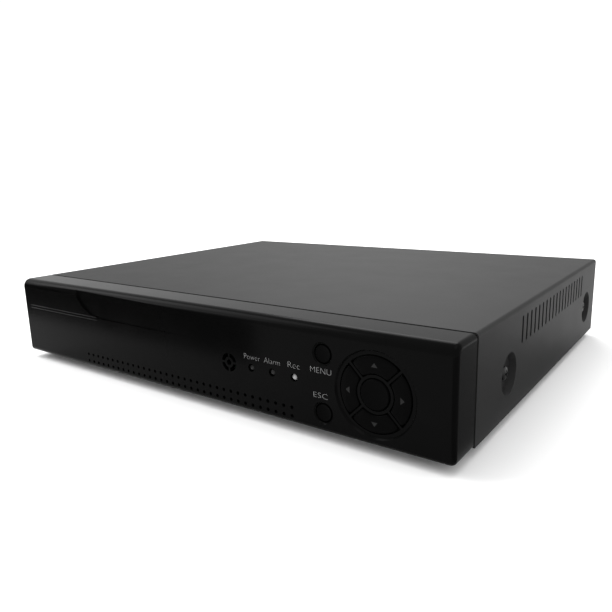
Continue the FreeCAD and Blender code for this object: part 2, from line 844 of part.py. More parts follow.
def on_board(x, back, size):
    """A block that stands on the main board, centred on x and on a distance from the seam."""
    width, depth, _ = size
    return box((f"{x} - {width} / 2", f"{seam} + {back} - {depth} / 2", board_top), size)


def can_on_board(x, back, radius, height):
    return rod("z", (x, f"{seam} + {back}", board_top), radius, height)


def make_heatsink():
    """A square heatsink with upright fins, over the processor."""
    body = new_body("heatsink")
    base_level = f"({board_top} + 2)"
    plate = sketch(body, "XY_Plane", base_level)
    rectangle(plate, "-48", f"{seam} + 126", "-12", f"{seam} + 162")
    pad(body, plate, "3")
    fin = sketch(body, "XY_Plane", f"{base_level} + 3")
    rectangle(fin, "-48", f"{seam} + 126", "-46.5", f"{seam} + 162")
    first = pad(body, fin, "9")
    repeat(body, first, fin, "H_Axis", "34.5", "9")


def make_board_parts():
    sub_part("processor_chip", on_board("-30", "144", ("23", "23", "2")))
    chips = [on_board("12", back, ("9", "13", "1.2")) for back in (128, 146)]
    chips += [on_board(x, 156, ("14", "14", "1.4")) for x in (48, 76, 104)]
    chips.append(on_board("-66", "150", ("10", "16", "3")))
    chips += [on_board("-88", back, ("10", "10", "4.5")) for back in (128, 144)]
    group("board_chips", chips)
    group("capacitors", [can_on_board(x, 120 + 12 * (i % 2), "4", "9")
                         for i, x in enumerate((-108, -106, -74, -72, 24, 34))])
    group("board_headers", [
        on_board("62", "117", ("14", "9", "6")),
        on_board("47", "117", ("10", "9", "6")),
        on_board("84", "117", ("18", "9", "6"))])
    sub_part("buzzer", can_on_board("100", "133", "6", "7"))
    holder = cut(can_on_board("66", "134", "11.2", "4.2"),
                 rod("z", ("66", f"{seam} + 134", f"{board_top} + 1"), "10.2", "4"))
    sub_part("coin_cell_holder", holder)
    cell = rod("z", ("66", f"{seam} + 134", f"{board_top} + 1"), "10", "3.2")
    sub_part("coin_cell", cell)


# ---- rear jacks

def coax_places():
    return [(f"coax_x + {column} * coax_pitch", f"{bottom} + coax_low + {row} * coax_rise")
            for column in range(4) for row in range(2)]


def make_coax_jacks():
    """Two rows of four bayonet jacks in a moulded block behind the rear panel."""
    margin = "8"
    block = box((f"coax_x - {margin}", f"{rear_inside} - block_depth - fit_gap", board_top),
                (f"coax_pitch * 3 + {margin} * 2", "block_depth", "30.4"))
    bores = [rod("y", (x, f"{rear_inside} - block_depth", z), "coax_collar", "block_depth")
             for x, z in coax_places()]
    sub_part("coax_block", cut(block, *bores))
    start = f"({rear_inside} - block_depth + 0.5)"
    shells = []
    insulators = []
    contacts = []
    for x, z in coax_places():
        collar = rod("y", (x, start, z), "coax_collar - 0.05", f"{rear} + 1.2 - {start}")
        barrel = rod("y", (x, start, z), "coax_radius - 0.2", f"{rear} + jack_reach - {start}")
        nose = rod("y", (x, f"{rear} + jack_reach - coax_nose", z), "coax_radius", "coax_nose")
        lug = rod("z", (x, f"{rear} + jack_reach - 5", f"{z} - 5.6"), "0.9", "11.2")
        bore = rod("y", (x, start, z), "coax_bore", f"{rear} + jack_reach - {start}")
        shells.append(cut(fuse(collar, barrel, nose, lug), bore))
        seat = rod("y", (x, start, z), "coax_bore - 0.05", "9")
        sleeve = rod("y", (x, start, z), "2.4", f"{rear} + jack_reach - 1.5 - {start}")
        hole = rod("y", (x, start, z), "coax_pin + 0.05", f"{rear} + jack_reach - {start}")
        insulators.append(cut(fuse(seat, sleeve), hole))
        tube = rod("y", (x, start, z), "coax_pin", f"{rear} + jack_reach - 2 - {start}")
        socket = rod("y", (x, f"{rear} + jack_reach - 8", z), "0.7", "8")
        contacts.append(cut(tube, socket))
    group("coax_shells", shells)
    group("coax_insulators", insulators)
    group("coax_contacts", contacts)


def make_audio_jacks():
    """Two phono jacks, one above the other."""
    places = [("audio_x", f"{bottom} + audio_low + {row} * audio_rise") for row in range(2)]
    start = f"({rear_inside} - 11)"
    block = box(("audio_x - 6.5", start, board_top), ("13", "11 - fit_gap", "27"))
    bores = [rod("y", (x, f"{start} + 3", z), "audio_radius - 0.5", "12") for x, z in places]
    sub_part("audio_block", cut(block, *bores))
    shells = []
    for x, z in places:
        plug = rod("y", (x, f"{start} + 3", z), "audio_radius - 0.55",
                   f"{rear} + audio_reach - {start} - 3")
        tube = rod("y", (x, rear_inside, z), "audio_radius", f"{rear} + audio_reach - {rear_inside}")
        bore = rod("y", (x, f"{rear} - 2", z), "1.6", "audio_reach + 4")
        shells.append(cut(fuse(plug, tube), bore))
    group("audio_shells", shells)


def make_vga_port():
    """A D-shaped socket on a flange, with a threaded hexagon-sized post each side."""
    middle = f"({board_top} + 6.4)"
    body = box(("vga_x - 15.5", f"{rear_inside} - 12", board_top), ("31", "11.8 + sheet", "12.5"))
    shell = doc.addObject("PartDesign::Body", "vga_shell")
    drawing = sketch(shell, "XZ_Plane", f"-({rear} - 0.5)")
    polygon(drawing, [("vga_x - 7.4", f"{middle} - 3.9"), ("vga_x + 7.4", f"{middle} - 3.9"),
                      ("vga_x + 8.6", f"{middle} + 3.9"), ("vga_x - 8.6", f"{middle} + 3.9")])
    pad(shell, drawing, "6", reverse=True)
    round_edges(shell, "1.5", lambda b: b.YLength > 4)
    posts = []
    holes = []
    for sign in (-1, 1):
        x = f"vga_x + {sign} * vga_screw_pitch / 2"
        posts.append(rod("y", (x, f"{rear} - 1", middle), "2.4", "6"))
        holes.append(rod("y", (x, f"{rear} - 1", middle), "1.3", "8"))
    for row in range(3):
        for column in range(5):
            x = f"vga_x + ({column} - 2) * 2.29 + ({row} - 1) * 0.6"
            holes.append(rod("y", (x, f"{rear} + 1", f"{middle} + ({row} - 1) * 1.98"), "0.45", "8"))
    sub_part("vga_port", cut(fuse(body, shell, *posts), *holes))


def make_small_ports():
    """HDMI, network, double USB and direct-current jacks, open to the rear."""
    hdmi_low = board_top
    hdmi = box(("hdmi_x - 7.5", f"{rear} - 12", hdmi_low), ("15", "13", "6"))
    mouth = box(("hdmi_x - 7", f"{rear} - 8", f"{hdmi_low} + 0.6"), ("14", "12", "4.6"))
    tongue = box(("hdmi_x - 5.5", f"{rear} - 8.5", f"{hdmi_low} + 2.4"), ("11", "8", "1"))
    sub_part("hdmi_port", fuse(cut(hdmi, mouth), tongue))

    lan = box(("lan_x - 8", f"{rear} - 15", board_top), ("16", "15.5", "13.5"))
    lan_mouth = box(("lan_x - 6", f"{rear} - 13", f"{board_top} + 2.5"), ("12", "15", "7"))
    latch = box(("lan_x - 3", f"{rear} - 13", f"{board_top} + 9"), ("6", "15", "2.6"))
    sub_part("lan_port", cut(lan, lan_mouth, latch))

    usb = box(("usb_x - 7", f"{rear} - 14", board_top), ("14", "14.5", "15.6"))
    usb_mouths = [box(("usb_x - 6.3", f"{rear} - 10", f"{board_top} + {low}"), ("12.6", "12", "5.2"))
                  for low in (1, 9)]
    usb_tongues = [box(("usb_x - 5.6", f"{rear} - 10.5", f"{board_top} + {low} + 3.1"),
                       ("11.2", "9.5", "1.8")) for low in (1, 9)]
    sub_part("usb_port", fuse(cut(usb, *usb_mouths), *usb_tongues))

    power_level = f"{board_top} + 6.2"
    jack = box(("power_x - 4.5", f"{rear} - 13.5", board_top), ("9", "14", "11"))
    bore = rod("y", ("power_x", f"{rear} - 10", power_level), "power_bore", "12")
    pin = rod("y", ("power_x", f"{rear} - 10.5", power_level), "power_pin", "10")
    sub_part("power_jack", fuse(cut(jack, bore), pin))


# ---- hard disk

disk_low = f"({floor} + disk_raise)"
disk_y = f"({seam} + disk_front)"
spindle = ("(disk_left + spindle_x)", f"({disk_y} + disk_width / 2)")
pivot = (f"({spindle[0]} + arm_x)", f"({spindle[1]} + arm_y)")
disk_deck = f"({disk_low} + 7)"


def disk_screw_places():
    return [(f"disk_left + {along}", f"{disk_y} + {across}")
            for along in (41, 86) for across in (3.5, 98)]


def make_disk_case():
    """The casting: a round well for the platter, a chamber for the arm, and two stubs."""
    lid_level = f"({disk_low} + disk_height - disk_lid)"
    block = box(("disk_left", disk_y, disk_low),
                ("disk_length", "disk_width", "disk_height - disk_lid"))
    well = rod("z", (*spindle, disk_deck), "platter_radius + 1.5", "disk_height")
    chamber = box((f"{spindle[0]} + 22", f"{disk_y} + 4", disk_deck), ("66", "58", "disk_height"))
    recess = box(("disk_left + 40", f"{disk_y} + 8", f"{disk_low} - 1"), ("100", "86", "3"))
    feet = [rod("z", (x, y, floor), "3.4", "disk_raise + 1") for x, y in disk_screw_places()]
    threads = [rod("z", (x, y, f"{floor} - 1"), "screw_hole", "7") for x, y in disk_screw_places()]
    hollow = cut(block, well, chamber, recess)
    stubs = [rod("z", (x, y, f"{disk_deck} - 1"), "stub_radius", "13")
             for x, y in (spindle, pivot)]
    sub_part("disk_case", cut(fuse(hollow, *stubs, *feet), *threads))
    lid = box(("disk_left", disk_y, lid_level), ("disk_length", "disk_width", "disk_lid"))
    sub_part("disk_lid", lid)


def make_disk_works():
    """The platter on its hub, the head arm on its pivot, and the circuit board."""
    x, y = spindle
    hub = rod("z", (x, y, f"{disk_deck} + 1"), "hub_radius", "11")
    plate = rod("z", (x, y, f"{disk_deck} + 6"), "platter_radius", "platter_thick")
    bore = rod("z", (x, y, disk_deck), "stub_radius + running_gap", "14")
    sub_part("disk_platter", cut(fuse(hub, plate), bore))

    x, y = pivot
    turn = Rotation(Vector(0, 0, 1), sizes["arm_rest_angle"])
    boss = rod("z", (x, y, f"{disk_deck} + 3"), "7", "8")
    blade_level = f"{disk_deck} + 8.2"
    offset = turn.multVec(Vector(0, -2, 0))
    blade = box((f"{x} + {offset.x}", f"{y} + {offset.y}", blade_level),
                ("arm_length", "4", "1"), turn)
    offset = turn.multVec(Vector(-19, -8, 0))
    coil = box((f"{x} + {offset.x}", f"{y} + {offset.y}", blade_level), ("16", "16", "2"), turn)
    bore = rod("z", (x, y, disk_deck), "stub_radius + running_gap", "14")
    sub_part("disk_arm", cut(fuse(boss, blade, coil), bore))

    sub_part("disk_board", box(("disk_left + 42", f"{disk_y} + 10", f"{disk_low} + 0.2"),
                               ("96", "82", "board_thick")))
    group("disk_screws", [screw("z", (x, y, f"({bottom} - head_height)"), "5", False)
                          for x, y in disk_screw_places()])


# ---- cables held inside

def path_wire(points, radius):
    """Straight runs through the points, joined by tangent arcs of one radius."""
    edges = []
    start = points[0]
    for i in range(1, len(points) - 1):
        before = (points[i - 1] - points[i]).normalize()
        after = (points[i + 1] - points[i]).normalize()
        half_turn = (math.pi - before.getAngle(after)) / 2
        setback = radius * math.tan(half_turn)
        enter = points[i] + before * setback
        leave = points[i] + after * setback
        inward = (before + after).normalize()
        middle = points[i] + inward * (radius / math.cos(half_turn) - radius)
        edges.append(Part.makeLine(start, enter))
        edges.append(Part.Arc(enter, middle, leave).toShape())
        start = leave
    edges.append(Part.makeLine(start, points[-1]))
    return Part.Wire(edges)


def cable(name, points, radius, profile, plugs):
    """A profile swept along runs and arcs, with a plug at each end."""
    wire = path_wire([Vector(*[number(text) for text in point]) for point in points], radius)
    solid = Part.Wire(wire.Edges).makePipeShell([profile], True, False)
    length_error = abs(solid.Volume / (Part.Face(profile).Area * wire.Length) - 1)
    if length_error > 0.02:
        raise RuntimeError(f"{name}: the sweep's volume is off by {length_error:.3f}")
    lead = doc.addObject("Part::Feature", "lead")
    lead.Shape = solid
    sub_part(name, fuse(lead, *plugs))


def flat_profile(centre, across, up, width, thick):
    """A closed rectangle around a path's first point."""
    corners = [centre + across * (width / 2 * i) + up * (thick / 2 * j)
               for i, j in ((-1, -1), (1, -1), (1, 1), (-1, 1), (-1, -1))]
    return Part.makePolygon(corners)


def make_cables():
    x_axis, y_axis, z_axis = Vector(1, 0, 0), Vector(0, 1, 0), Vector(0, 0, 1)
    level = f"({board_top} + 3)"
    outlet = "(disk_left + disk_length)"
    arrive = f"({seam} + main_front + 1 - 8)"

    start = (f"{outlet} + 8", f"{disk_y} + 24", level)
    points = [start, ("62", start[1], level), ("62", arrive, level)]
    origin = Vector(*[number(text) for text in start])
    plugs = [box((outlet, f"{disk_y} + 18", f"{level} - 2.5"), ("9", "12", "5")),
             box(("56", f"{arrive} - 1", f"{level} - 2.5"), ("12", "9", "5"))]
    cable("disk_data_cable", points, 10, flat_profile(origin, y_axis, z_axis, 8, 1.6), plugs)

    start = (f"{outlet} + 8", f"{disk_y} + 44", level)
    points = [start, ("47", start[1], level), ("47", arrive, level)]
    origin = Vector(*[number(text) for text in start])
    plugs = [box((outlet, f"{disk_y} + 34", f"{level} - 2.5"), ("9", "20", "5")),
             box(("42", f"{arrive} - 1", f"{level} - 2.5"), ("10", "9", "5"))]
    round_profile = Part.Wire(Part.makeCircle(2, origin, x_axis))
    cable("disk_power_cable", points, 6, round_profile, plugs)

    high = f"({bottom} + 22)"
    start = ("84", f"{panel} + board_thick + 5", high)
    points = [start, ("84", f"{seam} + 34", high), ("84", f"{seam} + 52", level),
              ("84", arrive, level)]
    origin = Vector(*[number(text) for text in start])
    plugs = [box(("75", f"{panel} + board_thick", f"{high} - 2.5"), ("18", "6", "5")),
             box(("75", f"{arrive} - 1", f"{level} - 2.5"), ("18", "9", "5"))]
    cable("front_ribbon", points, 14, flat_profile(origin, x_axis, z_axis, 15, 1), plugs)


def write_parts():
    """Check every object of the document, then write each sub-part to its own file."""
    doc.recompute()
    for thing in doc.Objects:
        if "Invalid" in thing.State or "Error" in thing.State:
            raise RuntimeError(f"{thing.Name} failed: {thing.State}")
    for name, thing in sub_parts.items():
        shape = thing.Shape
        if thing.Label != name or shape.isNull() or not shape.isValid() or not shape.Solids:
            raise RuntimeError(f"{name} has no valid shape")
    os.makedirs("parts", exist_ok=True)
    for name, thing in sub_parts.items():
        thing.Shape.exportStep(f"parts/{name}.step")
    print(f"{len(sub_parts)} sub-parts written")


make_top_cover()
make_base_tray()
make_cover_screws()
make_feet()
make_front_bezel()
make_bezel_screws()
make_keys()
make_switches()
make_front_board()
make_lamps()
make_infrared_receiver()
make_main_board()
make_standoffs()
make_board_screws()
make_board_parts()
make_heatsink()
make_coax_jacks()
make_audio_jacks()
make_vga_port()
make_small_ports()
make_disk_case()
make_disk_works()
make_cables()
write_parts()
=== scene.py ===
import bmesh
import bpy
import json
import math
import numpy as np
from mathutils import Matrix, Vector

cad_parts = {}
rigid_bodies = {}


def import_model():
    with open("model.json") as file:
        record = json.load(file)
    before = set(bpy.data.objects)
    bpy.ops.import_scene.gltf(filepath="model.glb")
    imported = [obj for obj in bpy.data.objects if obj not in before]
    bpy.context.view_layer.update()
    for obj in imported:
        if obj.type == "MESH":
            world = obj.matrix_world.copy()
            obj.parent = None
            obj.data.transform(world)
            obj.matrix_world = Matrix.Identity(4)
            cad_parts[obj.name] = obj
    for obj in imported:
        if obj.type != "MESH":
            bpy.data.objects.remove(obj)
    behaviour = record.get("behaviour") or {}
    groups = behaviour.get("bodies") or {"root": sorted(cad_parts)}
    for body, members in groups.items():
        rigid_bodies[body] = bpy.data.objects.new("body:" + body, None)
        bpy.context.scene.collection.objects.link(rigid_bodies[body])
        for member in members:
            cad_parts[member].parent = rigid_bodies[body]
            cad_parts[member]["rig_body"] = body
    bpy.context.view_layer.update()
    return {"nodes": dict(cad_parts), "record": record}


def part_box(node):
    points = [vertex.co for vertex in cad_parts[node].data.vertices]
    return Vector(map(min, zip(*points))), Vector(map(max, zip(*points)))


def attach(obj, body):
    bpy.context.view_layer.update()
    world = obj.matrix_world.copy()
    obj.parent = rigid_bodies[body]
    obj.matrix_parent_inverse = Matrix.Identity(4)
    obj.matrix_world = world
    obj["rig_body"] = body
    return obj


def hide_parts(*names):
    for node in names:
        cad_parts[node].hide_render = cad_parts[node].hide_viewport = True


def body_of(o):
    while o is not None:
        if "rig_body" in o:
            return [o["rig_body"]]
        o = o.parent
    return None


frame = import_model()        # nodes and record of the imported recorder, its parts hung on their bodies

# Everything is in metres, X to the right seen from the front, Y to the back, Z up.
mm = 0.001
print("frame loaded")


def span(node):
    # the lowest and highest corner of a CAD node, in millimetres
    return tuple(np.array(corner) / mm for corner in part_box(node))


front, bottom = span("front_bezel")[0][1:]
seam = span("top_cover")[0][1]
rear, top = span("top_cover")[1][1:]
side = span("top_cover")[1][0]
panel = span("front_board")[0][1]          # front face of the small board behind the bezel
boardTop = span("main_board")[1][2]

view = {
    "focal": 34.39,          # lens in mm on a sensor 36 mm wide
    "sensor": 36.0,
    "yaw": 36.76,            # degrees turned to the left of straight in
    "pitch": 12.59,          # degrees looking down
    "roll": -1.64,
    "aside": 0.19275,        # from the middle of the recorder
    "ahead": 0.16412,        # in front of the bezel's face
    "height": 0.09698,       # above the surface it stands on
}


def makeCamera(facts):
    # forward from yaw and pitch, then the right and up axes turned by the roll
    yaw, pitch, roll = (math.radians(facts[k]) for k in ("yaw", "pitch", "roll"))
    ahead = Vector((-math.sin(yaw) * math.cos(pitch), math.cos(yaw) * math.cos(pitch),
                    -math.sin(pitch)))
    level = ahead.cross(Vector((0, 0, 1))).normalized()
    upright = level.cross(ahead)
    right = level * math.cos(roll) + upright * math.sin(roll)
    up = upright * math.cos(roll) - level * math.sin(roll)
    lens = bpy.data.cameras.new("camera")
    lens.lens = facts["focal"]
    lens.sensor_width = facts["sensor"]
    lens.clip_start = 0.01
    lens.clip_end = 20
    camera = bpy.data.objects.new("camera", lens)
    bpy.context.scene.collection.objects.link(camera)
    turn = Matrix((right, up, -ahead)).transposed().to_4x4()
    place = Vector((facts["aside"], front * mm - facts["ahead"], facts["height"]))
    camera.matrix_world = Matrix.Translation(place) @ turn
    bpy.context.scene.camera = camera


studio = {
    "floorSize": 60.0,
    "floorShade": 0.97,
    "skyStrength": 1.06,
    "lights": {
        # name: place, size, power in watts
        "key": ((-0.5, 0.9, 1.1), 0.9, 10.0),
        "fill": ((0.3, -0.2, 1.5), 0.9, 4.0),
        "edge": ((-0.9, -0.45, 0.85), 0.9, 8.0),
    },
    "flags": {
        # dark cards that only reflections see: shade, then the four corners, going round
        "leftFlag": (0.0, (-0.45, -0.158, 0.003), (0.0, -0.158, 0.003), (0.0, -0.158, 0.07),
                     (-0.45, -0.158, 0.07)),
        "rightFlag": (0.3, (0.132, -0.3, 0.001), (0.6, -0.3, 0.001), (0.6, 0.1, 0.001),
                      (0.132, 0.06, 0.001)),
    },
}


def cardMaterial(name, shade):
    # an even matt grey with no shine
    material = bpy.data.materials.new(name)
    material.use_nodes = True
    shader = material.node_tree.nodes["Principled BSDF"]
    shader.inputs["Base Color"].default_value = (shade, shade, shade, 1)
    shader.inputs["Roughness"].default_value = 0.9
    shader.inputs["Specular IOR Level"].default_value = 0.0
    return material


def makeStudio(facts):
    half = facts["floorSize"] / 2
    mesh = bpy.data.meshes.new("floor")
    mesh.from_pydata([(-half, -half, 0), (half, -half, 0), (half, half, 0), (-half, half, 0)],
                     [], [(0, 1, 2, 3)])
    floor = bpy.data.objects.new("floor", mesh)
    bpy.context.scene.collection.objects.link(floor)
    mesh.materials.append(cardMaterial("paleFloor", facts["floorShade"]))
    world = bpy.data.worlds.new("studio")
    bpy.context.scene.world = world
    world.use_nodes = True
    sky = world.node_tree.nodes["Background"]
    sky.inputs["Color"].default_value = (1, 1, 1, 1)
    sky.inputs["Strength"].default_value = facts["skyStrength"]
    for name, (place, size, power) in facts["lights"].items():
        data = bpy.data.lights.new(name, "AREA")
        data.shape = "DISK"
        data.size = size
        data.energy = power
        lamp = bpy.data.objects.new(name, data)
        bpy.context.scene.collection.objects.link(lamp)
        lamp.location = place
        lamp.rotation_euler = (-Vector(place)).to_track_quat("-Z", "Y").to_euler()
    for name, (shade, *corners) in facts["flags"].items():
        mesh = bpy.data.meshes.new(name)
        mesh.from_pydata(corners, [], [(0, 1, 2, 3)])
        mesh.materials.append(cardMaterial(name, shade))
        card = bpy.data.objects.new(name, mesh)
        bpy.context.scene.collection.objects.link(card)
        card.visible_camera = card.visible_diffuse = card.visible_shadow = False


bpy.context.scene.view_settings.view_transform = "Standard"
makeCamera(view)
makeStudio(studio)
print("camera, floor and lights made")


def newMaterial(name, facts):
    # a Principled shader with the constant values set on its own sockets
    material = bpy.data.materials.new(name)
    material.use_nodes = True
    tree = material.node_tree
    shader = tree.nodes["Principled BSDF"]
    shader.inputs["Metallic"].default_value = facts.get("metallic", 0.0)
    shader.inputs["Specular IOR Level"].default_value = facts.get("specular", 0.5)
    shader.inputs["Coat Weight"].default_value = facts.get("coat", 0.0)
    shader.inputs["Coat Roughness"].default_value = 0.1
    return material, tree, shader


def objectPoint(tree, stretch=(1, 1, 1)):
    # Object coordinates, stretched by a Mapping node
    source = tree.nodes.new("ShaderNodeTexCoord")
    mapping = tree.nodes.new("ShaderNodeMapping")
    mapping.inputs["Scale"].default_value = stretch
    tree.links.new(source.outputs["Object"], mapping.inputs["Vector"])
    return mapping.outputs["Vector"]


def noise(tree, point, scale, detail=4.0):
    node = tree.nodes.new("ShaderNodeTexNoise")
    node.inputs["Scale"].default_value = scale
    node.inputs["Detail"].default_value = detail
    node.inputs["Roughness"].default_value = 0.6
    tree.links.new(point, node.inputs["Vector"])
    return node.outputs["Fac"]


def ramp(tree, factor, stops):
    # stops are (position, colour), with a plain number for a grey
    node = tree.nodes.new("ShaderNodeValToRGB")
    points = node.color_ramp.elements
    while len(points) < len(stops):
        points.new(0.5)
    for point, (position, colour) in zip(points, stops):
        point.position = position
        shade = colour if isinstance(colour, tuple) else (colour,) * 3
        point.color = (*shade, 1)
    tree.links.new(factor, node.inputs["Fac"])
    return node.outputs["Color"]


def bump(tree, shader, height, distance):
    # relief of the given height in metres
    node = tree.nodes.new("ShaderNodeBump")
    node.inputs["Strength"].default_value = 1.0
    node.inputs["Distance"].default_value = distance
    tree.links.new(height, node.inputs["Height"])
    tree.links.new(node.outputs["Normal"], shader.inputs["Normal"])


def grainMaterial(name, facts):
    # two shades and two roughnesses mixed by a coarse noise, with a fine noise as relief
    material, tree, shader = newMaterial(name, facts)
    point = objectPoint(tree, facts.get("stretch", (1, 1, 1)))
    cloud = noise(tree, point, facts.get("cloud", 60.0))
    dark, light = facts["shades"]
    tree.links.new(ramp(tree, cloud, [(0.3, dark), (0.7, light)]), shader.inputs["Base Color"])
    smooth, rough = facts["roughness"]
    tree.links.new(ramp(tree, cloud, [(0.3, smooth), (0.7, rough)]), shader.inputs["Roughness"])
    grain = noise(tree, point, facts.get("grain", 2500.0), 2.0)
    bump(tree, shader, grain, facts.get("relief", 0.02) * mm)
    return material


finishes = {
    "powder_coat": {"shades": (0.014, 0.016), "roughness": (0.5, 0.53), "grain": 1800.0,
                    "relief": 0.03, "specular": 0.08},
    "tray_paint": {"shades": (0.02, 0.024), "roughness": (0.5, 0.6), "relief": 0.03,
                   "specular": 0.3},
    "screw_black": {"shades": (0.03, 0.045), "roughness": (0.3, 0.4), "metallic": 1.0},
    "screw_zinc": {"shades": (0.5, 0.6), "roughness": (0.25, 0.35), "metallic": 1.0},
    "bezel_gloss": {"shades": (0.0018, 0.0022), "roughness": (0.2, 0.23), "relief": 0.002,
                    "specular": 0.024},
    "key_plastic": {"shades": (0.0006, 0.0009), "roughness": (0.3, 0.36), "relief": 0.004,
                    "specular": 0.02},
    "rubber": {"shades": (0.012, 0.018), "roughness": (0.75, 0.85), "relief": 0.03},
    "lamp_lens": {"shades": (0.006, 0.009), "roughness": (0.3, 0.4), "specular": 0.2},
    # the lit record lamp's glow is painted: a pale base colour under a clear coat, with no light
    # of its own
    "lamp_lit": {"shades": (0.24, 0.3), "roughness": (0.2, 0.3), "coat": 0.5},
    "epoxy": {"shades": (0.018, 0.026), "roughness": (0.45, 0.6), "relief": 0.02},
    "brass_post": {"shades": ((0.5, 0.36, 0.14), (0.6, 0.44, 0.18)), "roughness": (0.25, 0.35),
                   "metallic": 1.0},
    "can_sleeve": {"shades": ((0.006, 0.008, 0.025), (0.008, 0.01, 0.035)),
                   "roughness": (0.2, 0.3)},
    "header_plastic": {"shades": ((0.55, 0.52, 0.43), (0.62, 0.59, 0.5)),
                       "roughness": (0.4, 0.5)},
    "bare_aluminium": {"shades": (0.55, 0.65), "roughness": (0.3, 0.4), "metallic": 1.0,
                       "stretch": (1, 12, 12)},
    "cell_steel": {"shades": (0.5, 0.6), "roughness": (0.2, 0.3), "metallic": 1.0},
    "jack_plastic": {"shades": (0.01, 0.014), "roughness": (0.35, 0.45)},
    "nickel": {"shades": ((0.55, 0.53, 0.49), (0.63, 0.61, 0.57)), "roughness": (0.16, 0.26),
               "metallic": 1.0},
    "jack_insulator": {"shades": (0.72, 0.8), "roughness": (0.4, 0.5)},
    "gold_contact": {"shades": ((0.7, 0.48, 0.16), (0.8, 0.56, 0.2)), "roughness": (0.2, 0.3),
                     "metallic": 1.0},
    "cast_aluminium": {"shades": (0.3, 0.38), "roughness": (0.4, 0.55), "metallic": 1.0,
                       "relief": 0.06},
    "mirror_disk": {"shades": (0.7, 0.74), "roughness": (0.03, 0.06), "metallic": 1.0,
                    "relief": 0.0005},
    "cable_red": {"shades": ((0.3, 0.01, 0.008), (0.36, 0.015, 0.01)), "roughness": (0.4, 0.5)},
    "cable_black": {"shades": (0.012, 0.016), "roughness": (0.45, 0.55)},
    "ribbon_grey": {"shades": (0.3, 0.36), "roughness": (0.45, 0.55), "cloud": 500.0},
}
materials = {name: grainMaterial(name, facts) for name, facts in finishes.items()}


def printMaterial(name, shade):
    # screen print: an even pale shade with a little wear
    material, tree, shader = newMaterial(name, {"specular": 0.2})
    wear = noise(tree, objectPoint(tree), 900.0)
    tree.links.new(ramp(tree, wear, [(0.25, shade * 0.75), (0.5, shade)]),
                   shader.inputs["Base Color"])
    shader.inputs["Roughness"].default_value = 0.5
    return material


def boardMaterial(name, facts):
    # nested square rings of a Chebychev Voronoi pattern, as tracks under the solder mask
    material, tree, shader = newMaterial(name, facts)
    cells = tree.nodes.new("ShaderNodeTexVoronoi")
    cells.distance = "CHEBYCHEV"
    cells.inputs["Scale"].default_value = facts["cells"]
    tree.links.new(objectPoint(tree), cells.inputs["Vector"])
    rings = tree.nodes.new("ShaderNodeMath")
    rings.operation = "PINGPONG"
    rings.inputs[1].default_value = facts["track"]
    tree.links.new(cells.outputs["Distance"], rings.inputs[0])
    level = tree.nodes.new("ShaderNodeMath")
    level.operation = "DIVIDE"
    level.inputs[1].default_value = facts["track"]
    tree.links.new(rings.outputs[0], level.inputs[0])
    dark, light = facts["shades"]
    tree.links.new(ramp(tree, level.outputs[0], [(0.45, dark), (0.6, light)]),
                   shader.inputs["Base Color"])
    shader.inputs["Roughness"].default_value = facts["roughness"]
    bump(tree, shader, level.outputs[0], 0.02 * mm)
    return material


def brushedMaterial(name, facts):
    # fine lines along one axis: noise on coordinates stretched across it
    material, tree, shader = newMaterial(name, {"metallic": 1.0})
    lines = noise(tree, objectPoint(tree, facts["stretch"]), facts["lines"], 3.0)
    dark, light = facts["shades"]
    tree.links.new(ramp(tree, lines, [(0.3, dark), (0.7, light)]), shader.inputs["Base Color"])
    smooth, rough = facts["roughness"]
    tree.links.new(ramp(tree, lines, [(0.3, smooth), (0.7, rough)]), shader.inputs["Roughness"])
    bump(tree, shader, lines, 0.01 * mm)
    return material


materials["circuit_board"] = boardMaterial("circuitBoard", {
    "shades": ((0.004, 0.035, 0.014), (0.012, 0.085, 0.035)),
    "cells": 90.0, "track": 0.06, "roughness": 0.35, "coat": 0.4})
materials["brushed_lid"] = brushedMaterial("brushedLid", {
    "shades": (0.48, 0.62), "roughness": (0.22, 0.42), "stretch": (0.05, 1, 1),
    "lines": 2500.0})
materials["whitePrint"] = printMaterial("whitePrint", 0.24)
materials["greyPrint"] = printMaterial("greyPrint", 0.004)
materials["faintPrint"] = printMaterial("faintPrint", 0.009)
print("materials made")


def gridFaces(rows, columns):
    # quads between neighbouring rows of a grid whose last column joins its first
    row = np.arange(rows - 1)[:, None] * columns
    now = np.arange(columns)[None, :]
    after = (now + 1) % columns
    quads = (row + now, row + after, row + columns + after, row + columns + now)
    return np.stack(quads, axis=-1).reshape(-1, 4)


def finishMesh(piece, finish, body, replaced, sharp=35):
    # one material, smooth shading between faces that meet at less than the sharp angle
    mesh = piece.data
    mesh.materials.clear()
    mesh.materials.append(materials[finish])
    mesh.shade_smooth()
    mesh.set_sharp_from_angle(angle=math.radians(sharp))
    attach(piece, body)
    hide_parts(*replaced)


def makePiece(name, grids, finish, body="chassis", replaced=(), sharp=35):
    # joins closed grids, in millimetres, into one mesh; poles and seams are merged shut
    points, faces, count = [], [], 0
    for grid in grids:
        rows, columns = grid.shape[:2]
        points.append(grid.reshape(-1, 3))
        faces.append(gridFaces(rows, columns) + count)
        count += rows * columns
    mesh = bpy.data.meshes.new(name)
    mesh.from_pydata((np.concatenate(points) * mm).tolist(), [],
                     np.concatenate(faces).tolist())
    shape = bmesh.new()
    shape.from_mesh(mesh)
    bmesh.ops.remove_doubles(shape, verts=shape.verts, dist=1e-7)
    bmesh.ops.dissolve_degenerate(shape, edges=shape.edges, dist=1e-8)
    bmesh.ops.recalc_face_normals(shape, faces=shape.faces)
    shape.to_mesh(mesh)
    shape.free()
    piece = bpy.data.objects.new(name, mesh)
    bpy.context.scene.collection.objects.link(piece)
    finishMesh(piece, finish, body, replaced, sharp)


